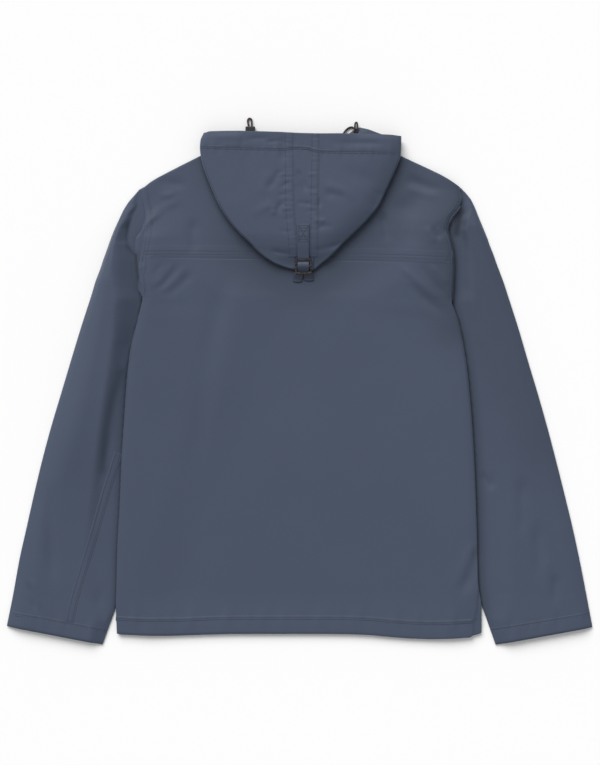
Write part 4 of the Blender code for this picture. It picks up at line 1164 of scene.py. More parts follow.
def top_rows(xs, height, downward):
    """The rows along the shoulders, which turn over their edge, and along the open neck."""
    rows = [[] for inward in EDGE_PLAIN]
    for x in xs:
        if abs(abs(x) - NECK_HALF) < NECK_SNAP:
            x = math.copysign(NECK_HALF, x)
        if abs(x) <= NECK_HALF + 1:
            points = edge_points((x, neck_edge(x)), (0, -1), height, downward, 0.0)
        else:
            turned = min(1.0, 0.5 + (abs(x) - NECK_HALF) / 170)
            points = edge_points((x, neck_edge(x)), shoulder_inward(x), height, downward, turned)
        for line, point in zip(rows, points):
            line.append(point)
    return rows[::-1]


def from_sides(x):
    """Distance from the nearer of the body's sides."""
    return np.minimum(x - HEM_SIDES[LEFT], HEM_SIDES[RIGHT] - x)


def hem_shape(grid, downward):
    """The hem's uneven line, the step where its turned allowance starts, and its puckers."""
    x, y = grid[..., 0].copy(), grid[..., 1].copy()
    from_edge = y - HEM_Y
    straight = HEM_Y + (x - BODY_ROWS[0][0]) * HEM_SLOPE
    grid[..., 1] += (value_at(HEM_LINE, x) - straight) * (1 - ease(from_edge / 75))
    if downward > 0:
        band = HEM_BAND * (1 - ease((from_edge - HEM_WIDTH) / 2.5)) * ease(from_edge)
        waves = HEM_PUCKER * wobble(x, 27.0, 1.0) * np.exp(-((from_edge - HEM_WIDTH) / 13.0) ** 2)
        edge_fall = 0.8 * (1 - ease(from_edge / 1.4))
        grid[..., 2] += HEM_LIFT * (1 - ease((from_edge + 2) / 70)) * ease((from_sides(x) - 4) / 48)
        rolled = ease((x - value_at(HEM_ROLL, y) + 0.6) / 1.4)
        grid[..., 2] += (band + np.maximum(waves, -0.35)) * (1 - rolled) - edge_fall - 1.5 * rolled
    return grid


def raise_creases(grid, rows, weight=1.0):
    """Lays creases into a panel."""
    grid[..., 2] += crease_field(grid[..., 0], grid[..., 1], rows) * weight
    return grid


def rise_at_seam(x, y):
    """How far the body stands up along its side edges and the armholes."""
    above = ease((y - ARMHOLE_FOOT_Y) / 25)
    total = crease_field(x, y, ARMHOLE_CREASES)
    for side in (LEFT, RIGHT):
        away = np.abs(x - value_at(BODY_ROWS, y, 2 * side, 2 * side + 1))
        wall = np.clip((away - 0.4) / 0.35, 0, 1) ** 0.8
        spread = np.exp(-(away / blend(SIDE_SPREAD, ARMHOLE_SPREAD[side], above)) ** 2)
        rounded = 1 - 0.3 * np.exp(-(away / 6.0) ** 2)
        total = total + value_at(EDGE_RISE, y, 1 + side) * spread * rounded * blend(wall, 1, above)
    return total


def armhole_rise(grid):
    """Raises a panel along its sides, where a sleeve is tucked under it."""
    grid[..., 2] += rise_at_seam(grid[..., 0], grid[..., 1])
    return grid


def make_back():
    """The back, from the hem to the yoke's seam."""
    rows = [body_row(row, back_height, 1) for row in range(YOKE_ROW)]
    rows.append(body_row(YOKE_ROW, back_height, 1, -SEAM / 2))
    rows[1:1] = [[tuple(blend(np.array(a), np.array(b), share)) for a, b in zip(rows[0], rows[1])]
                 for share in (0.04, 0.5)]
    grid = finer(rows, GRAIN)[0]
    grid = raise_creases(grid, BACK_CREASES, ease(from_sides(grid[..., 0]) / 3))
    grid = armhole_rise(hem_shape(grid, 1))
    return cloth("back_cloth", [grid], SLATE)


def make_yoke():
    """The back yoke, from its seam to the shoulders and the neck."""
    seam = body_row(YOKE_ROW, back_height, 1, SEAM / 2)
    rows = [seam]
    last = len(BODY_ROWS) - 1
    foot, head = BODY_ROWS[YOKE_ROW][1], BODY_ROWS[last][1]
    for row in range(YOKE_ROW + 1, last):
        left_x, left_y, right_x, right_y = BODY_ROWS[row]
        share = (left_y - foot) / (head - foot)
        points = []
        for (x, y, z), seam_y in zip(body_row(row, back_height, 1), column(seam, 1)):
            stretched = seam_y + (neck_edge(x) - 2.0 - seam_y) * share
            y = blend(y, stretched, float(ease(min(x - left_x, right_x - x) / NEAR_SIDE)))
            points.append((x, y, float(back_height(x, y))))
        rows.append(points)
    rows += top_rows(column(body_row(last, back_height, 1), 0), back_height, 1)
    grid = armhole_rise(finer(rows, GRAIN)[0])
    return cloth("yoke_cloth", [raise_creases(grid, YOKE_CREASES)], SLATE)


def underarm_row():
    """The front's row below its armholes: each strip ends along the foot of the tuck."""
    left_x, left_y, right_x, right_y = BODY_ROWS[UNDERARM_ROW]
    foot_y = FRONT_ARMHOLE[0][1] - SEAM
    left_in, right_in = FRONT_ARMHOLE[0][0], FRONT_ARMHOLE[0][2]

    def edge_y(x):
        if x < left_in:
            return blend(foot_y, left_y - SEAM, (left_in - x) / (left_in - left_x))
        if x > right_in:
            return blend(foot_y, right_y - SEAM, (x - right_in) / (right_x - right_in))
        return foot_y

    def carried(x, y):
        return SOLE + SIDE_STEP * lift(x, foot_y, FRONT_RAMP)

    return [(x, edge_y(x), z) for x, y, z in body_row(UNDERARM_ROW, carried, -1)]


def make_front():
    """The front, face down: its sides to the underarm, and its middle up to the shoulders."""
    lower = [body_row(row, front_height, -1) for row in range(UNDERARM_ROW)]
    lower.append(underarm_row())
    beside = len(EDGE_PLAIN) + len(STRIP_SHARES) + 1
    upper = [lower[-1][beside:-beside]]
    start = FRONT_ARMHOLE[0][1]
    inset = RAMP_PLACES[1:]
    for left_x, left_y, right_x, right_y in FRONT_ARMHOLE[1:-1]:
        share = (left_y - start) / (FRONT_ARMHOLE[-1][1] - start)
        left, right = left_x + SEAM - inset[0], right_x - SEAM + inset[0]
        inner = [blend(left + inset[-1], right - inset[-1], part) for part in MIDDLE_SHARES]
        points = []
        for x in [left + d for d in inset] + inner + [right - d for d in reversed(inset)]:
            edge_y = blend(left_y, right_y, (x - left_x) / (right_x - left_x))
            stretched = blend(start, neck_edge(x) - 2.0, share)
            y = blend(edge_y, stretched, float(ease(min(x - left_x, right_x - x) / NEAR_SIDE)))
            points.append((x, y, float(front_height(x, y))))
        upper.append(points)
    xs = column(body_row(len(BODY_ROWS) - 1, front_height, -1), 0)[beside:-beside]
    xs[0], xs[-1] = FRONT_ARMHOLE[-1][0] + SEAM, FRONT_ARMHOLE[-1][2] - SEAM
    upper += top_rows(xs, front_height, -1)
    low, row_plan, (knots, counts) = finer(lower, FRONT_GRAIN)
    first = int(counts[:beside].sum())
    plan = (knots[beside:-beside] - knots[beside], counts[beside:-beside])
    high = finer(upper, FRONT_GRAIN, None, plan)[0]
    x, y = high[..., 0], high[..., 1]
    below = y - np.vectorize(neck_edge)(x) + 42
    high[..., 2] += rise_at_seam(x, y) * ease(below / 36) * ease((np.abs(x) - NECK_HALF) / 30)
    high[0] = low[-1][first:first + high.shape[1]]
    return cloth("front_cloth", [hem_shape(low, -1), high], SLATE)


# ---- sleeves

# Sines and cosines of the places on a half turn of cloth
HALF_TURN = [(math.sin(math.radians(part)), math.cos(math.radians(part))) for part in range(30, 180, 30)]


def tuck_points(strip, overlap, drop, turn, spread):
    """Profile of the tuck, distance outward and height over the sleeve's upper layer."""
    angle = math.radians(turn)
    radius = (drop - overlap * math.sin(angle)) / (2 * (1 - math.cos(angle)))
    first = []
    for step in range(5):
        part = angle * step / 4
        first.append((radius * math.sin(part), drop - radius * (1 - math.cos(part))))
    end_x = 2 * radius * math.sin(angle) + overlap * math.cos(angle) + (spread - 1) * radius
    second = [(end_x - x * spread, drop - z) for x, z in reversed(first)]
    run = [(blend(first[-1][0], second[0][0], part), blend(first[-1][1], second[0][1], part))
           for part in (0.33, 0.67)]
    return [(0.0, drop)] + [(strip + x, z) for x, z in first + run + second]


def body_edge(side, y):
    """x of the body's visible edge over a sleeve."""
    places = [on_side(row, side) for row in BODY_ROWS[:UNDERARM_ROW + 1]]
    for row, tuck in list(zip(BODY_ROWS[UNDERARM_ROW:], TUCK))[1:]:
        x, level = on_side(row, side)
        places.append((x + OUTWARD[side] * (tuck[side] + FOLD), level))
    return value_at(places, y, 0, 1)


def sleeve_edge(side, y):
    """x of the sleeve's outer edge."""
    levels = column(SLEEVE_EDGE, 0)[::-1] + column(SLEEVE_HEAD, 2 * side + 1)[1:]
    edges = column(SLEEVE_EDGE, 1 + side)[::-1] + column(SLEEVE_HEAD, 2 * side)[1:]
    return np.interp(y, levels, edges)


def sleeve_relief(side, x, y):
    """How far the part of a sleeve that lies free stands up between the body and its edge."""
    leaving = np.clip((BODY_LEAVES_Y - y) / (BODY_LEAVES_Y - CUFF_INNER_Y[side]), 0, 1)
    edge = blend(body_edge(side, y), CUFF_INNER_X[side], leaving)
    foot, top, height, low, rounding = (value_at(SLEEVE_RISE[side], y, index) for index in range(1, 6))
    away = (x - edge) * OUTWARD[side]
    steep = np.clip((away - foot) / (top - foot), 0, 1)
    slope = (1 - low) * (0.4 * steep + 0.6 * ease(steep)) + low * np.clip(away / foot, 0, 1)
    from_outer = np.clip((sleeve_edge(side, y) - x) * OUTWARD[side] / rounding, 0, 1)
    return height * slope * (1 - (1 - from_outer) ** 2)


def sleeve_ring(upper_start, outer, under):
    """Upper layer from its inner end out to the fold, round it, and the lower layer back."""
    direction = towards(upper_start, outer)
    inset = WALL / 2 + FOLD
    turn_x, turn_y = outer[0] - direction.x * inset, outer[1] - direction.y * inset
    points = []
    for share in UPPER_SHARES:
        points.append((blend(upper_start[0], turn_x, share), blend(upper_start[1], turn_y, share), UPPER))
    for sine, cosine in HALF_TURN:
        points.append((turn_x + direction.x * FOLD * sine, turn_y + direction.y * FOLD * sine,
                       UPPER - FOLD * (1 - cosine)))
    for share in LOWER_SHARES:
        points.append((blend(turn_x, under[0], share), blend(turn_y, under[1], share), SOLE))
    return points


def sleeve_tube(side):
    """The sleeve's rings from the cuff to the underarm, and the half turns that close them."""
    rings, closing = [], []
    for step in range(UNDERARM_ROW + 1):
        share = step / UNDERARM_ROW
        inner_y = blend(CUFF_INNER_Y[side], FRONT_ARMHOLE[0][1], share)
        inner = (float(inner_edge(side, inner_y)), inner_y)
        outer_y = blend(CUFF_OUTER_Y[side], SLEEVE_HEAD[0][2 * side + 1], share)
        outer = (float(value_at(SLEEVE_EDGE, outer_y, 1 + side)), outer_y)
        if step == UNDERARM_ROW:
            outer = on_side(SLEEVE_HEAD[0], side)
        along = towards(inner, outer)
        start = (inner[0] + along.x * FOLD, inner[1] + along.y * FOLD)
        ring = sleeve_ring(start, outer, start)
        arc = [(start[0] - along.x * FOLD * sine, start[1] - along.y * FOLD * sine,
                SOLE + FOLD * (1 + cosine)) for sine, cosine in reversed(HALF_TURN)]
        rings.append(ring)
        closing.append([ring[-1]] + arc + [ring[0]])
    return rings, closing


def sleeve_cap(side, underarm):
    """The sleeve's rings above the underarm, and the tuck that joins each to the body's edge."""
    rings, tucks = [], []
    for level, (head, body, hole) in enumerate(zip(SLEEVE_HEAD, BODY_ROWS[UNDERARM_ROW:], FRONT_ARMHOLE)):
        strip, overlap = TUCK[level][side:4:2]
        drop, turn, spread = TUCK[level][4:]
        tucked_in = float(ease((level - 8.5) / 1.5))
        x, y = on_side(body, side)
        seam = (x + OUTWARD[side] * (SEAM / 2 - 1.4 * tucked_in), y)
        outer = on_side(head, side)
        if level == 0:
            along = towards(seam, outer)
            start = underarm[0]
            overlap = strip - Vector((start[0] - seam[0], start[1] - seam[1])).dot(along)
        points = [(seam[0] + along.x * d, seam[1] + along.y * d,
                   UPPER + h - 0.9 * tucked_in * max(0.0, 1 - d / 1.6))
                  for d, h in tuck_points(strip, overlap, drop, turn, spread)]
        x, y = on_side(hole, side)
        if level > 0:
            rings.append(sleeve_ring(points[-1][:2], outer, (x + OUTWARD[side] * SEAM * 0.7, y)))
        points[-1] = (rings or [underarm])[-1][0]
        tucks.append(points)
    return rings, tucks


def make_sleeve(side, node):
    """A whole sleeve, a flattened tube whose head is tucked under the body's edge."""
    shared, closing = sleeve_tube(side)
    cap, tucks = sleeve_cap(side, shared[-1])
    main, (knots, counts), columns = finer(shared + cap, GRAIN)
    below = (knots[:UNDERARM_ROW + 1], counts[:UNDERARM_ROW])
    above = (knots[UNDERARM_ROW:] - knots[UNDERARM_ROW], counts[UNDERARM_ROW:])
    split = int(counts[:UNDERARM_ROW].sum())
    turned = finer(closing, 0.8, below)[0]
    tucked = finer(tucks, 1.6, above)[0]
    shape_sleeve(side, node, main, columns[1])
    seam_z = tucked[:, :1, 2]
    raised = np.clip((tucked[..., 2] - UPPER) / np.maximum(seam_z - UPPER, 0.1), 0, 1)
    raised = np.where(seam_z - UPPER > 0.1, raised, 0.0)
    tucked[..., 2] += rise_at_seam(tucked[..., 0], tucked[..., 1]) * raised
    turned[:, 0], turned[:, -1] = main[:split + 1, -1], main[:split + 1, 0]
    tucked[:, -1] = main[split:, 0]
    return cloth(node + "_cloth", [main, turned, tucked], SLATE)


def shape_sleeve(side, node, grid, counts):
    """Rounds up the sleeve's upper layer and lays its creases and its cuff's hem into it."""
    upper = int(counts[:len(UPPER_SHARES) - 1].sum())
    last = int(counts[:len(UPPER_SHARES) + 4].sum())
    x, y = grid[:, :last + 1, 0], grid[:, :last + 1, 1]
    from_cuff = cuff_distance(side, x, y)
    rise = sleeve_relief(side, x, y) + crease_field(x, y, SLEEVE_CREASES[node])
    rise += CUFF_BAND * (1 - ease((from_cuff - CUFF_WIDTH) / 2.5))
    rise += 0.45 * wobble(x, 23.0, 2.0 + side) * np.exp(-((from_cuff - CUFF_WIDTH) / 12.0) ** 2)
    rise -= 0.7 * (1 - ease(from_cuff / 1.5))
    place = np.arange(last + 1)
    fade = (1 - ease((place - upper + 2) / 4.0)) * ease(place / 2.0)
    grid[:, :last + 1, 2] += np.maximum(rise, SLEEVE_DEEPEST) * fade


def cuff_distance(side, x, y):
    """Distance from the end of the sleeve, along it."""
    inner = (CUFF_INNER_X[side], CUFF_INNER_Y[side])
    line = towards(inner, (SLEEVE_EDGE[-1][1 + side], CUFF_OUTER_Y[side]))
    return ((y - inner[1]) * line.x - (x - inner[0]) * line.y) * OUTWARD[side]


# ---- hood

HOOD_TOP_SHARES = (0.0, 0.1, 0.2, 0.3, 0.4, 0.5, 0.6, 0.7, 0.8, 0.88, 0.95, 1.0)
GUSSET_SHARES = (0.0, 0.33, 0.67, 1.0)
# the hood's upper rim, x and y
RIM_LINE = [(-144.0, 356.5), (-138.0, 364.9), (-130.0, 367.4), (-115.0, 367.9), (-86.0, 368.2),
            (-57.0, 367.5), (-28.0, 366.6), (0.6, 365.0), (29.6, 364.4), (58.6, 364.6),
            (100.0, 363.8), (131.0, 362.7), (145.6, 361.2), (148.0, 360.2)]
# where the rim's casing ends, x and y
CASING_STEP = [(-143, 344.8), (-21, 341.9), (1, 342.8), (27, 338.1), (144, 337.0)]


def low_gap(y):
    """Height of the hood's lower layer over the yoke."""
    return blend(HOOD_NECK_GAP, HOOD_LOW_GAP, ease((HOOD_ROWS[4][0] + 8 - y) / 34))


def near_rim(y):
    """0 over most of the hood, 1 at its rim."""
    return ease((y - RIM_START_Y) / RIM_CLOSE)


def hood_low_height(x, y):
    """Middle of the hood's lower layer: over the yoke, and down through the open neck."""
    over_yoke = back_height(x, min(y, 330.0)) + low_gap(y)
    over_yoke = blend(over_yoke, RIM_LOW_Z, near_rim(y))
    inside = 0.0
    if abs(x) < NECK_HALF + 12:
        depth = y - neck_edge(min(max(x, -NECK_HALF), NECK_HALF))
        side_depth = (NECK_HALF - abs(x)) * 0.8 + 4
        inside = ease((min(depth, side_depth) - 18.0) / THROAT_RAMP)
        inside = max(inside, ease((y - NECK_Y) / 5) * ease((NECK_HALF - 2 - abs(x)) / 8))
    return float(blend(over_yoke, SOLE, inside))


def hood_edge(side, y):
    """x of the hood's outer edge."""
    return float(value_at(HOOD_ROWS, y, (1, 4)[side]))


def hood_top_height(x, y):
    """Middle of the hood's upper layer, lowest at the rim over the neck."""
    pressed = ease((PRESS_TOP_Y - y) / 30) * (1 - ease((abs(x - STRAP_X) - PRESS_HALF) / 34))
    full = UPPER + BACK_CROWN + HOOD_LOW_GAP + HOOD_THICK + 0.6 - HOOD_END_FALL * pressed
    low = blend(UPPER + low_gap(y), RIM_LOW_Z, near_rim(y))
    middle = blend(full, HOOD_RIM_Z, ease((y - 285) / 80))
    outside = blend(full, low + HOOD_SIDE_THICK, ease((y - 280) / 80))
    height = blend(middle, outside, ease((abs(x) - HOOD_SIDE_X) / 20))
    from_left, from_right = (1 - (1 - min(1.0, max(0.0, (hood_edge(side, y) - x) * OUTWARD[side])
                                          / PILLOW_WIDTHS[side])) ** 3 for side in (LEFT, RIGHT))
    pillow = from_right * (0.75 + 0.25 * from_left)
    pillow *= ease((y - 174) / 46) * blend(0.6, 1, ease((370 - y) / 120))
    return float(height + HOOD_LOFT * pillow)


def rim_shift(x, row, low):
    """How far a point of the hood's first rows moves so that the rim takes its shape."""
    shape = float(value_at(RIM_LINE, x)) - HOOD_ROWS[0][0] - 0.2
    if low or abs(x) > RIM_CORNER_X:
        shape = min(shape, 0.0)
    if low:
        shape += float(value_at(THROAT_RIM, x)) - THROAT_DROP
    return shape * RIM_FADE[min(row, 3)]


def hood_row(side, index):
    """One row of half the hood: its upper layer, the fold at its edge and its lower layer."""
    outward = OUTWARD[side]
    row = HOOD_ROWS[index]
    y = row[0]
    edge, gusset = (row[1], row[4])[side], (row[2], row[3])[side] + outward * SEAM / 2
    round_width = min(HOOD_FOLD_WIDTH, abs(edge - gusset) * 0.45)
    turn = edge - outward * (WALL / 2 + round_width)
    shut = max(0.0, (HOOD_ROWS[-3][0] - y) / (HOOD_ROWS[-3][0] - HOOD_ROWS[-1][0]))
    shut = math.sqrt(1 - shut * shut)

    def layer(x, way):
        """Height of the upper layer, way 1, or the lower one, way -1."""
        top, low = hood_top_height(x, y), hood_low_height(x, y)
        return (top + low) / 2 + (top - low) / 2 * shut * way

    low_z, top_z = layer(turn, -1), layer(turn, 1)
    points = []
    for share in HOOD_TOP_SHARES:
        x = blend(gusset, turn, share)
        points.append((x, y + rim_shift(x, index, False), layer(x, 1)))
    for sine, cosine in HALF_TURN:
        past_middle = cosine < -0.1     # the middle's own cosine is not quite 0
        points.append((turn + outward * round_width * sine, y + rim_shift(turn, index, past_middle),
                       top_z - (top_z - low_z) / 2 * (1 - cosine)))
    meet = gusset
    if y > neck_edge(0) - 1.5:
        meet = HOOD_MEET_X + outward * SEAM / 2
    for share in HOOD_LOW_SHARES:
        x = blend(turn, meet, share)
        points.append((x, y + rim_shift(x, index, True), layer(x, -1)))
    return points


def make_hood_side(side, name):
    """Half the hood, from the gusset round its edge and back under itself."""
    rows = [hood_row(side, index) for index in range(len(HOOD_ROWS))]
    grid, row_plan, (knots, counts) = finer(rows, HOOD_GRAIN)
    top = int(counts[:len(HOOD_TOP_SHARES) - 1].sum())
    upper = int(counts[:len(HOOD_TOP_SHARES) + 1].sum())
    fade = 1 - ease((np.arange(upper + 1) - top + 2) / 4.0)
    grid[:, :upper + 1, 2] += hood_folds(grid[:, :upper + 1]) * fade
    return cloth(name, [grid], SLATE)


def hood_folds(grid):
    """Creases of the hood's upper layer and the puckers of its casing."""
    x, y = grid[..., 0], grid[..., 1]
    casing = value_at(CASING_STEP, x)
    folds = crease_field(x, y, HOOD_CREASES)
    folds += 0.4 * wobble(x, 15.0, 3.0) * np.exp(-((y - casing) / 9.0) ** 2)
    folds += 0.45 * ease((y - casing) / 2.5)
    return np.maximum(folds, -2.6)


def make_gusset():
    """The strip between the hood's halves, from the rim over the fold and back to the neck."""
    turn_y = HOOD_BOTTOM_Y + WALL / 2 + HOOD_FOLD_WIDTH
    upper = [(row[0], row[2], row[3]) for row in HOOD_ROWS if row[0] > turn_y + 1]

    def across(left, right):
        """x of the gusset's columns between its seams."""
        return [blend(left + SEAM / 2, right - SEAM / 2, share) for share in GUSSET_SHARES]

    rows = [[(x, y + rim_shift(x, index, False), hood_top_height(x, y)) for x in across(left, right)]
            for index, (y, left, right) in enumerate(upper)]
    last = across(*upper[-1][1:])
    middle = sum(upper[-1][1:]) / 2
    top_z = hood_top_height(middle, turn_y)
    radius = (top_z - hood_low_height(middle, turn_y)) / 2
    for part in range(0, 181, 20):
        angle = math.radians(part)
        y = turn_y - HOOD_FOLD_WIDTH * math.sin(angle)
        rows.append([(x, y, top_z - radius * (1 - math.cos(angle))) for x in last])
    for y, left, right in reversed(upper[:-1]):
        if y < neck_edge(0) - 3:
            rows.append([(x, y, hood_low_height(x, y)) for x in across(left, right)])
    grid, (knots, counts), columns = finer(rows, HOOD_GRAIN)
    top = int(counts[:len(upper) - 1].sum())
    fade = (1 - ease((np.arange(top + 1) - top + 3) / 3.0))[:, None]
    grid[:top + 1, :, 2] += hood_folds(grid[:top + 1]) * fade
    return cloth("gusset_cloth", [grid], SLATE)


# ---- strap

STRAP_NARROW = 8.2      # half its width in the slider
STRAP_SHARES = (-1, -0.33, 0.33, 1)
STRAP_ROWS = (STRAP_TOP_Y, 229.5, 226.0, 222.0, 218.0, 213.5, 209.0, 204.5, 200.0, 196.0, 192.0)
# node, side, how far it splays, its length
STRAP_ENDS = (("strap_end_left", -1, 2.2, 13.8), ("strap_end_right", 1, 2.7, 12.0))
STRAP_END_HALF = 12.9
STRAP_END_STEPS = 6


def slider_frame(v):
    """A place along the slider's plane; gives y and z."""
    tilt = math.radians(SLIDER_TILT)
    return SLIDER_Y + v * math.cos(tilt), SLIDER_Z + v * math.sin(tilt)


def make_strap(surface):
    """The tab from the hood's gusset, under the slider's upper bar and over its middle bar."""
    rows = []
    for y in STRAP_ROWS:
        half = float(blend(STRAP_HALF, STRAP_NARROW, ease((STRAP_TOP_Y - y) / 40)))
        heights = [surface(STRAP_X + share * half, y) for share in STRAP_SHARES]
        middle = (heights[1] + heights[2]) / 2
        rows.append([(STRAP_X + share * half, y, blend(middle, height, 0.8) + STRAP_GAP + STRAP_WALL / 2)
                     for share, height in zip(STRAP_SHARES, heights)])
    for v, lifted in STRAP_WEAVE:
        y, z = slider_frame(v)
        rows.append([(STRAP_X + share * STRAP_NARROW, y, z + lifted) for share in STRAP_SHARES])
    return cloth("strap_cloth", [finer(rows, STRAP_GRAIN)[0]], SLATE_STRAP, STRAP_WALL), rows[-1][0][1:]


def make_strap_ends(start, surface):
    """The strap's two splayed ends below the slider, with a notch between them."""
    start_y, start_z = start
    floor_z = surface(STRAP_X, start_y - 14) + STRAP_GAP + STRAP_WALL / 2
    ends = []
    for node, way, splay, length in STRAP_ENDS:
        rows = []
        for step in range(STRAP_END_STEPS + 1):
            share = step / STRAP_END_STEPS
            y = start_y - SEAM - 0.2 - length * share
            z = float(blend(start_z - 0.2, floor_z, ease(share * 1.1)))
            outer = STRAP_X + way * (STRAP_END_HALF + splay * share ** 0.8)
            inner = STRAP_X + way * (0.25 + 1.5 * float(ease((share - 0.3) / 0.7)))
            rows.append([(blend(outer, inner, part), y + lean, z + bow) for part, lean, bow in
                         ((0.0, 0.9 * share, -0.5), (0.25, 0.2 * share, 0.1), (0.6, 0.0, 0.3),
                          (1.0, 0.9 * share, 0.0))])
        piece = cloth(node + "_cloth", [finer(rows, STRAP_GRAIN)[0]], SLATE_STRAP, STRAP_WALL)
        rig.replaces(piece, node)
        ends.append(piece)
    return ends


# ---- seams and stitches

EDGE_DROP = 2.5         # a step down that shows that a line has left the cloth
FELL_STEP = 1.15        # spacing of a seam strip's cross sections
STRIP_LIFT = 0.04       # from the cloth to a seam strip
GROOVE_WIDTH = 0.7
GROOVE_PAINTED_SHADE = 3.2       # how much a groove's depth deepens the colour, as painted shade
FALL_OFF = 3.0          # a step down that shows that a strip's side is off the cloth
SLIT_DEPTH = 0.3        # a narrow slit deeper than this is bridged
NEIGHBOURS = ((0.8, 0), (0, 0.8), (1.6, 0), (0, 1.6))


def top_of(*pieces):
    """A function that gives the height of the highest of some pieces at a place, in mm."""
    trees = []
    for piece in pieces:
        bm = bmesh.new()
        bm.from_mesh(piece.data)
        trees.append(BVHTree.FromBMesh(bm))
        bm.free()

    def height(x, y):
        """The highest point above a place, or 0 where there is none."""
        hits = [tree.ray_cast(Vector((x * MM, y * MM, 1.0)), Vector((0, 0, -1)))[0] for tree in trees]
        return max([hit.z / MM for hit in hits if hit is not None], default=0.0)

    def surface(x, y):
        """The same, bridging slits and filling gaps from the places beside it."""
        found = height(x, y)
        for dx, dy in NEIGHBOURS:
            one, two = height(x - dx, y - dy), height(x + dx, y + dy)
            if found == 0.0:
                found = max(one, two)
            if min(one, two) > found + SLIT_DEPTH:
                found = (one + two) / 2
        return found

    return surface


def even_line(points, spacing):
    """Points at an even spacing along a smooth line through a few points in plan."""
    points = np.array(points, float)
    knots = running_sum(np.linalg.norm(np.diff(points, axis=0), axis=1))
    return spaced(finer_along(points[:, None, :], 0, (knots, np.full(len(points) - 1, 30)))[:, 0], spacing)


def side_ways(line):
    """Unit directions to the left of a line, in plan."""
    along = np.gradient(line, axis=0)
    along /= np.linalg.norm(along, axis=1)[:, None]
    return np.stack([-along[:, 1], along[:, 0]], axis=1)


def on_cloth(heights):
    """The stretch of a line that stays on the cloth under its middle."""
    ends = []
    for way in (-1, 1):
        place = len(heights) // 2
        while 0 <= place + way < len(heights):
            ahead = heights[place + way]
            if ahead <= 0 or abs(ahead - heights[place]) >= EDGE_DROP:
                break
            place += way
        ends.append(place)
    return slice(ends[0], ends[1] + 1)


def on_root(piece):
    """Every piece of cloth and thread rides on the one body and takes the cloth's slot."""
    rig.ride(piece, "root")
    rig.slot(piece, "slate_cloth")
    return piece


def filled(heights, near):
    """Heights across a strip that don't fall off the cloth on either side of its line."""
    for way, steps in ((-1, range(near + 1, len(heights))), (1, range(near - 1, -1, -1))):
        for step in steps:
            if heights[step] < heights[step + way] - FALL_OFF:
                heights[step] = heights[step + way]
    return heights


def fell(name, points, surface, profile, rows, groove, pucker, seed, period=4.6, taper=0.0):
    """A stitched seam on a panel: a strip with a groove under each row of stitches.

    profile is how high the strip stands at distances from its line, rows where the stitches run,
    groove how deep they pull it in, and pucker how high the cloth bunches along them."""
    line, places = even_line(points, FELL_STEP)
    ways = side_ways(line)
    low, high = profile[0][0], profile[-1][0]
    offsets = set(column(profile, 0))
    for row in rows:
        offsets |= {row + step for step in (-1.4, -0.7, 0.0, 0.7, 1.4)}
    offsets = sorted(offset for offset in offsets if low <= offset <= high)
    near = int(np.argmin(np.abs(offsets)))
    bm = bmesh.new()
    layer = bm.verts.layers.float.new("seam")
    rings = []
    kept = on_cloth([surface(x, y) for x, y in line])
    for (x, y), (wx, wy), place in zip(line[kept], ways[kept], places[kept]):
        strength = 0.75 + 0.35 * float(wobble(place, 47.0, seed + 2))
        wave = pucker * strength * float(wobble(place, period, seed))
        width = 1.0
        if taper:
            width = 0.1 + 0.9 * float(ease(min(place, places[-1] - place) / taper))
        spots = [(x + wx * offset * width, y + wy * offset * width) for offset in offsets]
        heights = filled([surface(*spot) for spot in spots], near)
        ring = []
        for offset, (px, py), level in zip(offsets, spots, heights):
            pull = max([math.exp(-((offset - row) / GROOVE_WIDTH) ** 2) for row in rows])
            between = float(ease((offset - low) / 2.6) * ease((high - offset) / 2.6))
            z = level + STRIP_LIFT + float(value_at(profile, offset))
            z += wave * between - groove * strength * pull
            if offset in (low, high):
                z = level - 0.03
            ring.append(bm.verts.new((px * MM, py * MM, z * MM)))
            # painted shade in the groove, as deep as its pull
            ring[-1][layer] = pull * groove * GROOVE_PAINTED_SHADE
        for end in (-1, 0):
            ring.append(bm.verts.new((spots[end][0] * MM, spots[end][1] * MM,
                                      max(heights[end] - 0.5, 0.05) * MM)))
        rings.append(ring)
    close_rings(bm, rings)
    return on_root(add_mesh(name, bm, SLATE))


def stitches(name, lines, surface, pitch=3.1, length=2.3, radius=0.24):
    """Rows of stitches, each a short thread that dips into the cloth at both ends."""
    bm = bmesh.new()
    for points, offset in lines:
        line = even_line(points, pitch)[0]
        ways = side_ways(line)[:-1]
        line = line[:-1] + np.diff(line, axis=0) / 2 + ways * offset
        kept = on_cloth([surface(x, y) for x, y in line])
        for (x, y), (wx, wy) in zip(line[kept], ways[kept]):
            rings = []
            for part, sink in ((-0.5, 0.30), (-0.3, 0.02), (0.3, 0.02), (0.5, 0.30)):
                px, py = x + wy * part * length, y - wx * part * length
                z = surface(px, py) + radius * 0.35 - sink
                ring = []
                for turn in range(5):
                    angle = 2 * math.pi * turn / 5
                    out = radius * math.cos(angle)
                    ring.append(bm.verts.new(((px + wx * out) * MM, (py + wy * out) * MM,
                                              (z + radius * math.sin(angle)) * MM)))
                rings.append(ring)
            close_rings(bm, rings)
    return on_root(add_mesh(name, bm, THREAD))


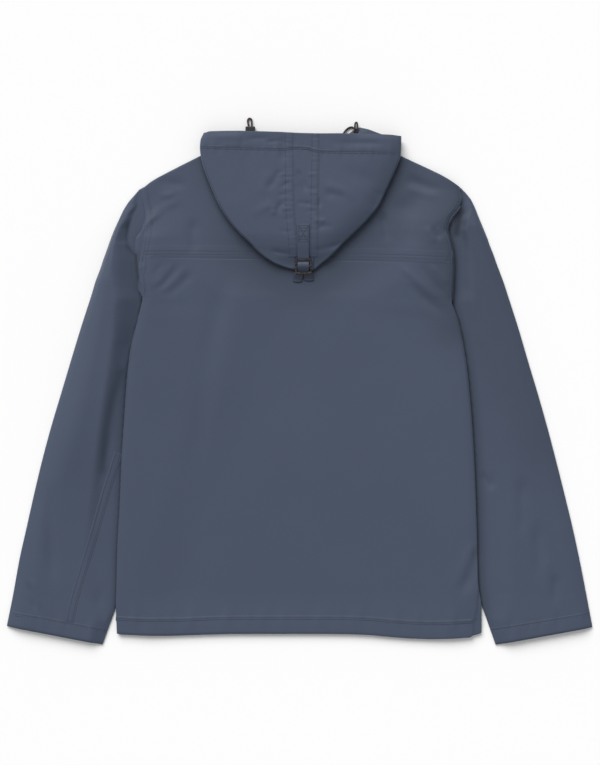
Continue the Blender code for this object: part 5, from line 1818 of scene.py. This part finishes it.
def paint_shade_near(piece, lines):
    """Paints shade into the colour of a piece's cloth close to some lines, for the shadow where cloth lies on cloth.

    Each line comes with the reach and the strength of its painted shade."""
    seam = piece.data.attributes["seam"].data
    places = np.empty(len(seam) * 3)
    piece.data.vertices.foreach_get("co", places)
    places = places.reshape(-1, 3)[:, :2] / MM
    shade = np.empty(len(seam))
    seam.foreach_get("value", shade)
    for line, reach, strength in lines:
        line = np.array(line, float)
        for a, b in zip(line, line[1:]):
            along = b - a
            t = np.clip(((places - a) @ along) / (along @ along), 0, 1)
            away = np.linalg.norm(places - a - t[:, None] * along, axis=1)
            shade = np.maximum(shade, strength * np.exp(-(away / reach) ** 2))
    seam.foreach_set("value", shade.astype(np.float32))


# ---- painted shade where cloth lies on cloth

# Lines, each with the reach and the strength of the painted shade near it
# painted shade along the body's left edge, and in the valley of the left sleeve beside it
LEFT_SLEEVE_PAINTED_SHADE = [([(-237.5, 186.5), (-250.3, 202.5)], 3.0, 1.2),
                    ([(-249.5, 206.0), (-248.5, 236.0)], 2.6, 0.9),
                    ([(-257.0, 22.0), (-263.5, 1.0), (-270.5, -21.0), (-275.6, -42.0),
                      (-280.7, -64.0), (-283.6, -93.0), (-285.1, -122.0)], 6.5, 0.95)]
# painted shadow beside the body's right edge, and a broad painted shade over most of the right sleeve
RIGHT_SLEEVE_PAINTED_SHADE = [([(233.5, 253), (231, 246), (228, 222)], 7.0, 2.1),
                     ([(238, 236), (236, 200), (238, 150)], 14.0, 0.55),
                     ([(285, 200), (355, -60)], 75.0, 0.42)]
# painted shadow on the strap's ends, under the slider and the hood
STRAP_END_PAINTED_SHADOW = [([(-10, 160), (20, 160)], 60.0, 1.05)]
# painted shadow on the body beside the right armhole
RIGHT_HOLE_PAINTED_SHADOW = ([on_side(row, RIGHT) for row in BODY_ROWS[UNDERARM_ROW - 1:]], 34.0, 0.95)
HOOD_LEFT_LINE = [(row[1] + 1, row[0]) for row in HOOD_ROWS]
HOOD_RIGHT_LINE = [(row[4] - 1, row[0]) for row in reversed(HOOD_ROWS)]
HOOD_FOOT_LINE = [point for point in HOOD_LEFT_LINE if point[1] < 222] + [(-2, 168), (16, 168)]
HOOD_FOOT_LINE += [point for point in HOOD_RIGHT_LINE if point[1] < 240]
# painted shadow on the back and yoke round the hood's edges and below its foot
BODY_PAINTED_SHADOWS = [(HOOD_LEFT_LINE, 5.0, 1.4), (HOOD_RIGHT_LINE, 6.5, 1.5), (HOOD_FOOT_LINE, 10.0, 1.5),
             (HOOD_FOOT_LINE, 42.0, 0.9), (HOOD_RIGHT_LINE, 38.0, 0.95), RIGHT_HOLE_PAINTED_SHADOW]


def body_side(side, top, count):
    """Points along the body's edge over a sleeve."""
    levels = np.linspace(BODY_LEAVES_Y, top, count)
    return list(zip(body_edge(side, levels), levels))


def paint_lap_shadows(back, yoke, sleeves, right_hood, ends):
    """Paints shadow into the panels where others lie on them, and painted shade down the hood's right half."""
    for piece in (back, yoke):
        paint_shade_near(piece, BODY_PAINTED_SHADOWS)
    # painted shade down the hood's right half, towards its right edge
    paint_shade_near(right_hood, [(HOOD_RIGHT_LINE[3:-1], 18.0, 0.5)])
    for piece in ends:
        # painted shadow on the strap's ends
        paint_shade_near(piece, STRAP_END_PAINTED_SHADOW)
    # painted shadow on each sleeve along the body's edge that lies on it
    edge = body_side(LEFT, 190, 67)
    paint_shade_near(sleeves[LEFT], [(edge, 2.4, 2.4), (edge, 6.0, 0.7)] + LEFT_SLEEVE_PAINTED_SHADE)
    edge = body_side(RIGHT, 236, 73)
    paint_shade_near(sleeves[RIGHT], [(edge, 3.2, 2.5), (edge, 11.0, 1.0)] + RIGHT_SLEEVE_PAINTED_SHADE)


# ---- the garment's seams

# Profiles are distance from the seam's line and height of the strip.
YOKE_SEAM = [(-225.5, 187.4), (-180, 188.2), (-137, 187.8), (0, 185.6), (153, 182.2), (196, 179.9),
             (221.5, 179.2)]
YOKE_PROFILE = [(-3.4, 0), (-2.8, 0), (-0.6, 0.02), (0.4, 0.22), (2.2, 0.18), (7.2, 0.13),
                (10.5, 0.08), (12.4, 0.05), (14.2, 0.02), (15.6, 0), (16.0, 0)]
YOKE_ROWS = (2.6, 7.4)
ARMHOLE_PROFILES = ([(-8.0, 0), (-4.6, 0.05), (-1.5, 0.07), (0, 0.08), (1.5, 0.06), (4.5, 0)],
                    [(0.5, 0), (2.4, 0.08), (4.6, 0.08), (7.4, 0)])
ARMHOLE_ROW = 4.6
LEFT_FELL_START = (-227.2, 128.5)
RIGHT_FELL_END = (233.9, 277.0)
GROOVE_PROFILE = [(-3.4, 0), (-1.4, 0.04), (0.8, 0.06), (3.4, 0)]
SLEEVE_PROFILE = [(-6.6, 0), (-4.2, 0.08), (0, 0.12), (4.2, 0.08), (6.6, 0)]
SLEEVE_ROWS = (-3.4, 3.4)
HEM_SEAM = [(x, y + HEM_WIDTH + 0.2) for x, y in HEM_LINE if -262 < x < 250]
HEM_SEAM = [(-266.5, -336.9)] + HEM_SEAM + [(250.5, -341.6)]
CUFF_SEAMS = ([(-417.0, -329.9), (-376.4, -336.9), (-332.9, -345.0), (-281.0, -355.2)],
              [(278.0, -354.4), (330, -345.8), (376, -338.0), (421.4, -330.4)])
SLEEVE_SEAM = [(-262.5, -97.4), (-281, -155.4), (-297, -212), (-313, -264.2), (-327, -312),
               (-333.5, -342)]
# name, line, distance of its rows of stitches, seed
GUSSET_SEAMS = (("left", [(-15.4, 365), (-15.4, 336), (-15.0, 285), (-14.0, 250), (-12.2, 228),
                          (-10.4, 208), (-9.4, 186)], 5.2, 10.0),
                ("right", [(22.4, 364), (22.4, 336), (21.2, 285), (21.0, 240), (20.8, 206),
                           (20.4, 186)], 4.4, 12.0))
CASING_SEAM = [(-142.5, 344.6), (-90, 343.2), (-21.2, 342.1), (-8, 344.0), (12, 343.2),
               (26.7, 338.8), (85, 337.4), (144.3, 336.6)]
STRAP_BOX = [(-1.8, 231.5), (12.6, 231.5), (12.2, 207.5), (-1.4, 207.5), (-1.8, 231.5)]
STRAP_SIDES = (-1.5, 12.3)
STRAP_BARS = (227.4, 223.2, 215.8, 211.6)


def groove_strip(name, line, surface, groove, pucker, seed, dark=True):
    """The strip along the stitches of a turned edge, with painted shade just above them."""
    piece = fell(name, line, surface, GROOVE_PROFILE, (0.0,), groove, pucker, seed)
    if dark:
        # painted shade just above the stitches
        paint_shade_near(piece, [([(x, y + 1.5) for x, y in line], 1.5, 0.85)])
    return piece


def armhole_edge(side):
    """The body's edge along an armhole."""
    return [on_side(row, side) for row in BODY_ROWS[UNDERARM_ROW:]]


def sew_body(back, yoke, left_sleeve):
    """The body's seams; gives those that go with the back and those that go with the yoke."""
    body_top = top_of(back, yoke)
    yoke_fell = fell("yoke_fell", YOKE_SEAM, body_top, YOKE_PROFILE, YOKE_ROWS, 0.14, 0.05, 1.0)
    armholes = []
    for side, name, line, under in (
            (LEFT, "left_armhole_fell", [LEFT_FELL_START] + armhole_edge(LEFT)[1:],
             top_of(back, yoke, left_sleeve)),
            (RIGHT, "right_armhole_fell", armhole_edge(RIGHT)[:-1] + [RIGHT_FELL_END], body_top)):
        armholes.append(fell(name, line, under, ARMHOLE_PROFILES[side], (OUTWARD[side] * ARMHOLE_ROW,),
                             0.06, 0.05, 2.0 + side, taper=12.0))
    # painted shadow on the yoke's seam strip under the hood, and on the right armhole's strip beside the armhole
    paint_shade_near(yoke_fell, BODY_PAINTED_SHADOWS)
    paint_shade_near(armholes[RIGHT], [RIGHT_HOLE_PAINTED_SHADOW])
    upper_top = top_of(back, yoke, yoke_fell, *armholes)
    hem_groove = groove_strip("hem_groove", HEM_SEAM, body_top, 0.16, 0.05, 4.0)
    yoke_stitches = stitches("yoke_stitches", [(YOKE_SEAM, row) for row in YOKE_ROWS], upper_top)
    lines = [(armhole_edge(side), OUTWARD[side] * ARMHOLE_ROW) for side in (LEFT, RIGHT)]
    armhole_stitches = stitches("armhole_stitches", lines, upper_top)
    hem_stitches = stitches("hem_stitches", [(HEM_SEAM, 0.0)], top_of(back, hem_groove))
    return [hem_groove, hem_stitches], [yoke_fell, yoke_stitches, armhole_stitches] + armholes


def sew_sleeves(sleeves):
    """The cuffs' hems and the left sleeve's long seam; gives what goes with each sleeve."""
    long_seam = fell("sleeve_fell", SLEEVE_SEAM, top_of(sleeves[LEFT]), SLEEVE_PROFILE, SLEEVE_ROWS,
                     0.13, 0.06, 5.0)
    sewn = []
    for side, sleeve in enumerate(sleeves):
        name, line = ("left", "right")[side], CUFF_SEAMS[side]
        extras = [groove_strip(name + "_cuff_groove", line, top_of(sleeve), 0.12, 0.08, 6.0 + side)]
        lines = [(line, 0.0)]
        if side == LEFT:
            extras.append(long_seam)
            lines += [(SLEEVE_SEAM, row) for row in SLEEVE_ROWS]
        extras.append(stitches(name + "_sleeve_stitches", lines, top_of(sleeve, *extras)))
        sewn.append(extras)
    return sewn


def sew_hood(hood, gusset):
    """The gusset's two seams and the casing; gives what goes with each half of the hood."""
    hood_top = top_of(*hood, gusset)
    fells, lines = [], [(CASING_SEAM, 0.0)]
    for name, line, half, seed in GUSSET_SEAMS:
        shape = [(-half - 2.6, 0), (-half - 0.6, 0.14), (0, 0.26), (half + 0.6, 0.14), (half + 2.6, 0)]
        fells.append(fell(name + "_gusset_fell", line, hood_top, shape, (-half, half), 0.11, 0.12,
                          seed, 7.0))
        lines += [(line, -half), (line, half)]
    casing = groove_strip("casing_groove", CASING_SEAM, top_of(*hood, gusset, *fells), 0.14, 0.07, 11.0,
                          False)
    sewn_top = top_of(*hood, gusset, *fells, casing)
    thread = stitches("hood_stitches", lines, sewn_top, pitch=2.9, length=2.1)
    return [fells[LEFT], casing, thread], [fells[RIGHT]]


def sew_strap(strap):
    """The strap's box of stitches, crossed from corner to corner and barred."""
    lines = list(zip(STRAP_BOX, STRAP_BOX[1:])) + [STRAP_BOX[0:3:2], STRAP_BOX[1:4:2]]
    lines += [[(x, y) for x in STRAP_SIDES] for y in STRAP_BARS]
    return stitches("strap_stitches", [(line, 0.0) for line in lines], top_of(strap), pitch=2.3,
                    length=1.8, radius=0.34)


# ---- putting it together

def area_of(piece):
    """Area of one face of a cloth wall, in square metres."""
    bm = bmesh.new()
    bm.from_mesh(piece.data)
    total = sum(face.calc_area() for face in bm.faces) / 2
    bm.free()
    return total


def declare(piece, node, flat, held, rests_on, extras):
    """Says which solid a cloth piece stands for and the size that it was cut to."""
    if node:
        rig.replaces(piece, node)
    on_root(piece)
    area = min(round(area_of(piece), 4), flat[0] * flat[1])
    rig.sheet(piece, flat=flat, held=held, rests_on=rests_on, area=area, with_pieces=extras)


def main():
    set_camera()
    make_cords()
    set_studio()
    bpy.data.objects["cord_stopper"].material_slots[0].material = BLACK
    bpy.data.objects["hood_slider"].material_slots[0].material = BRONZE

    front = make_front()
    back = make_back()
    yoke = make_yoke()
    sleeves = [make_sleeve(LEFT, "sleeve_left"), make_sleeve(RIGHT, "sleeve_right")]
    hood = [make_hood_side(LEFT, "hood_left_cloth"), make_hood_side(RIGHT, "hood_right_cloth")]
    gusset = make_gusset()
    strap, strap_end = make_strap(top_of(*hood, gusset))
    ends = make_strap_ends(strap_end, top_of(back, yoke))
    paint_lap_shadows(back, yoke, sleeves, hood[RIGHT], ends)

    on_back, on_yoke = sew_body(back, yoke, sleeves[LEFT])
    on_sleeves = sew_sleeves(sleeves)
    on_left_hood, on_right_hood = sew_hood(hood, gusset)
    on_strap = [sew_strap(strap)]

    declare(front, "front_panel", (0.54, 0.72), "laid", ["sleeve_left_cloth"], [])
    declare(back, "back_panel", (0.54, 0.56), "laid", ["front_cloth"], on_back)
    declare(yoke, "back_yoke", (0.47, 0.18), "laid", ["front_cloth"], on_yoke)
    for sleeve, node, extras in zip(sleeves, ("sleeve_left", "sleeve_right"), on_sleeves):
        declare(sleeve, node, (0.52, 0.67), "laid", [], extras)
    declare(hood[LEFT], "hood_left", (0.28, 0.20), "folded", ["yoke_cloth"], on_left_hood)
    declare(hood[RIGHT], "hood_right", (0.28, 0.20), "folded", ["yoke_cloth"], on_right_hood)
    declare(gusset, "hood_gusset", (0.04, 0.36), "folded", ["yoke_cloth"], [])
    declare(strap, "hood_strap", (0.018, 0.08), "laid", ["gusset_cloth"], on_strap)
    for piece in ends:
        declare(piece, None, (0.0125, 0.0175), "laid", ["back_cloth"], [])

    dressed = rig.bounds()
    sizes = [[float(value) for value in corner] for corner in (*solid_box, *dressed)]
    with open("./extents.json", "w") as out:
        json.dump(sizes, out)


main()
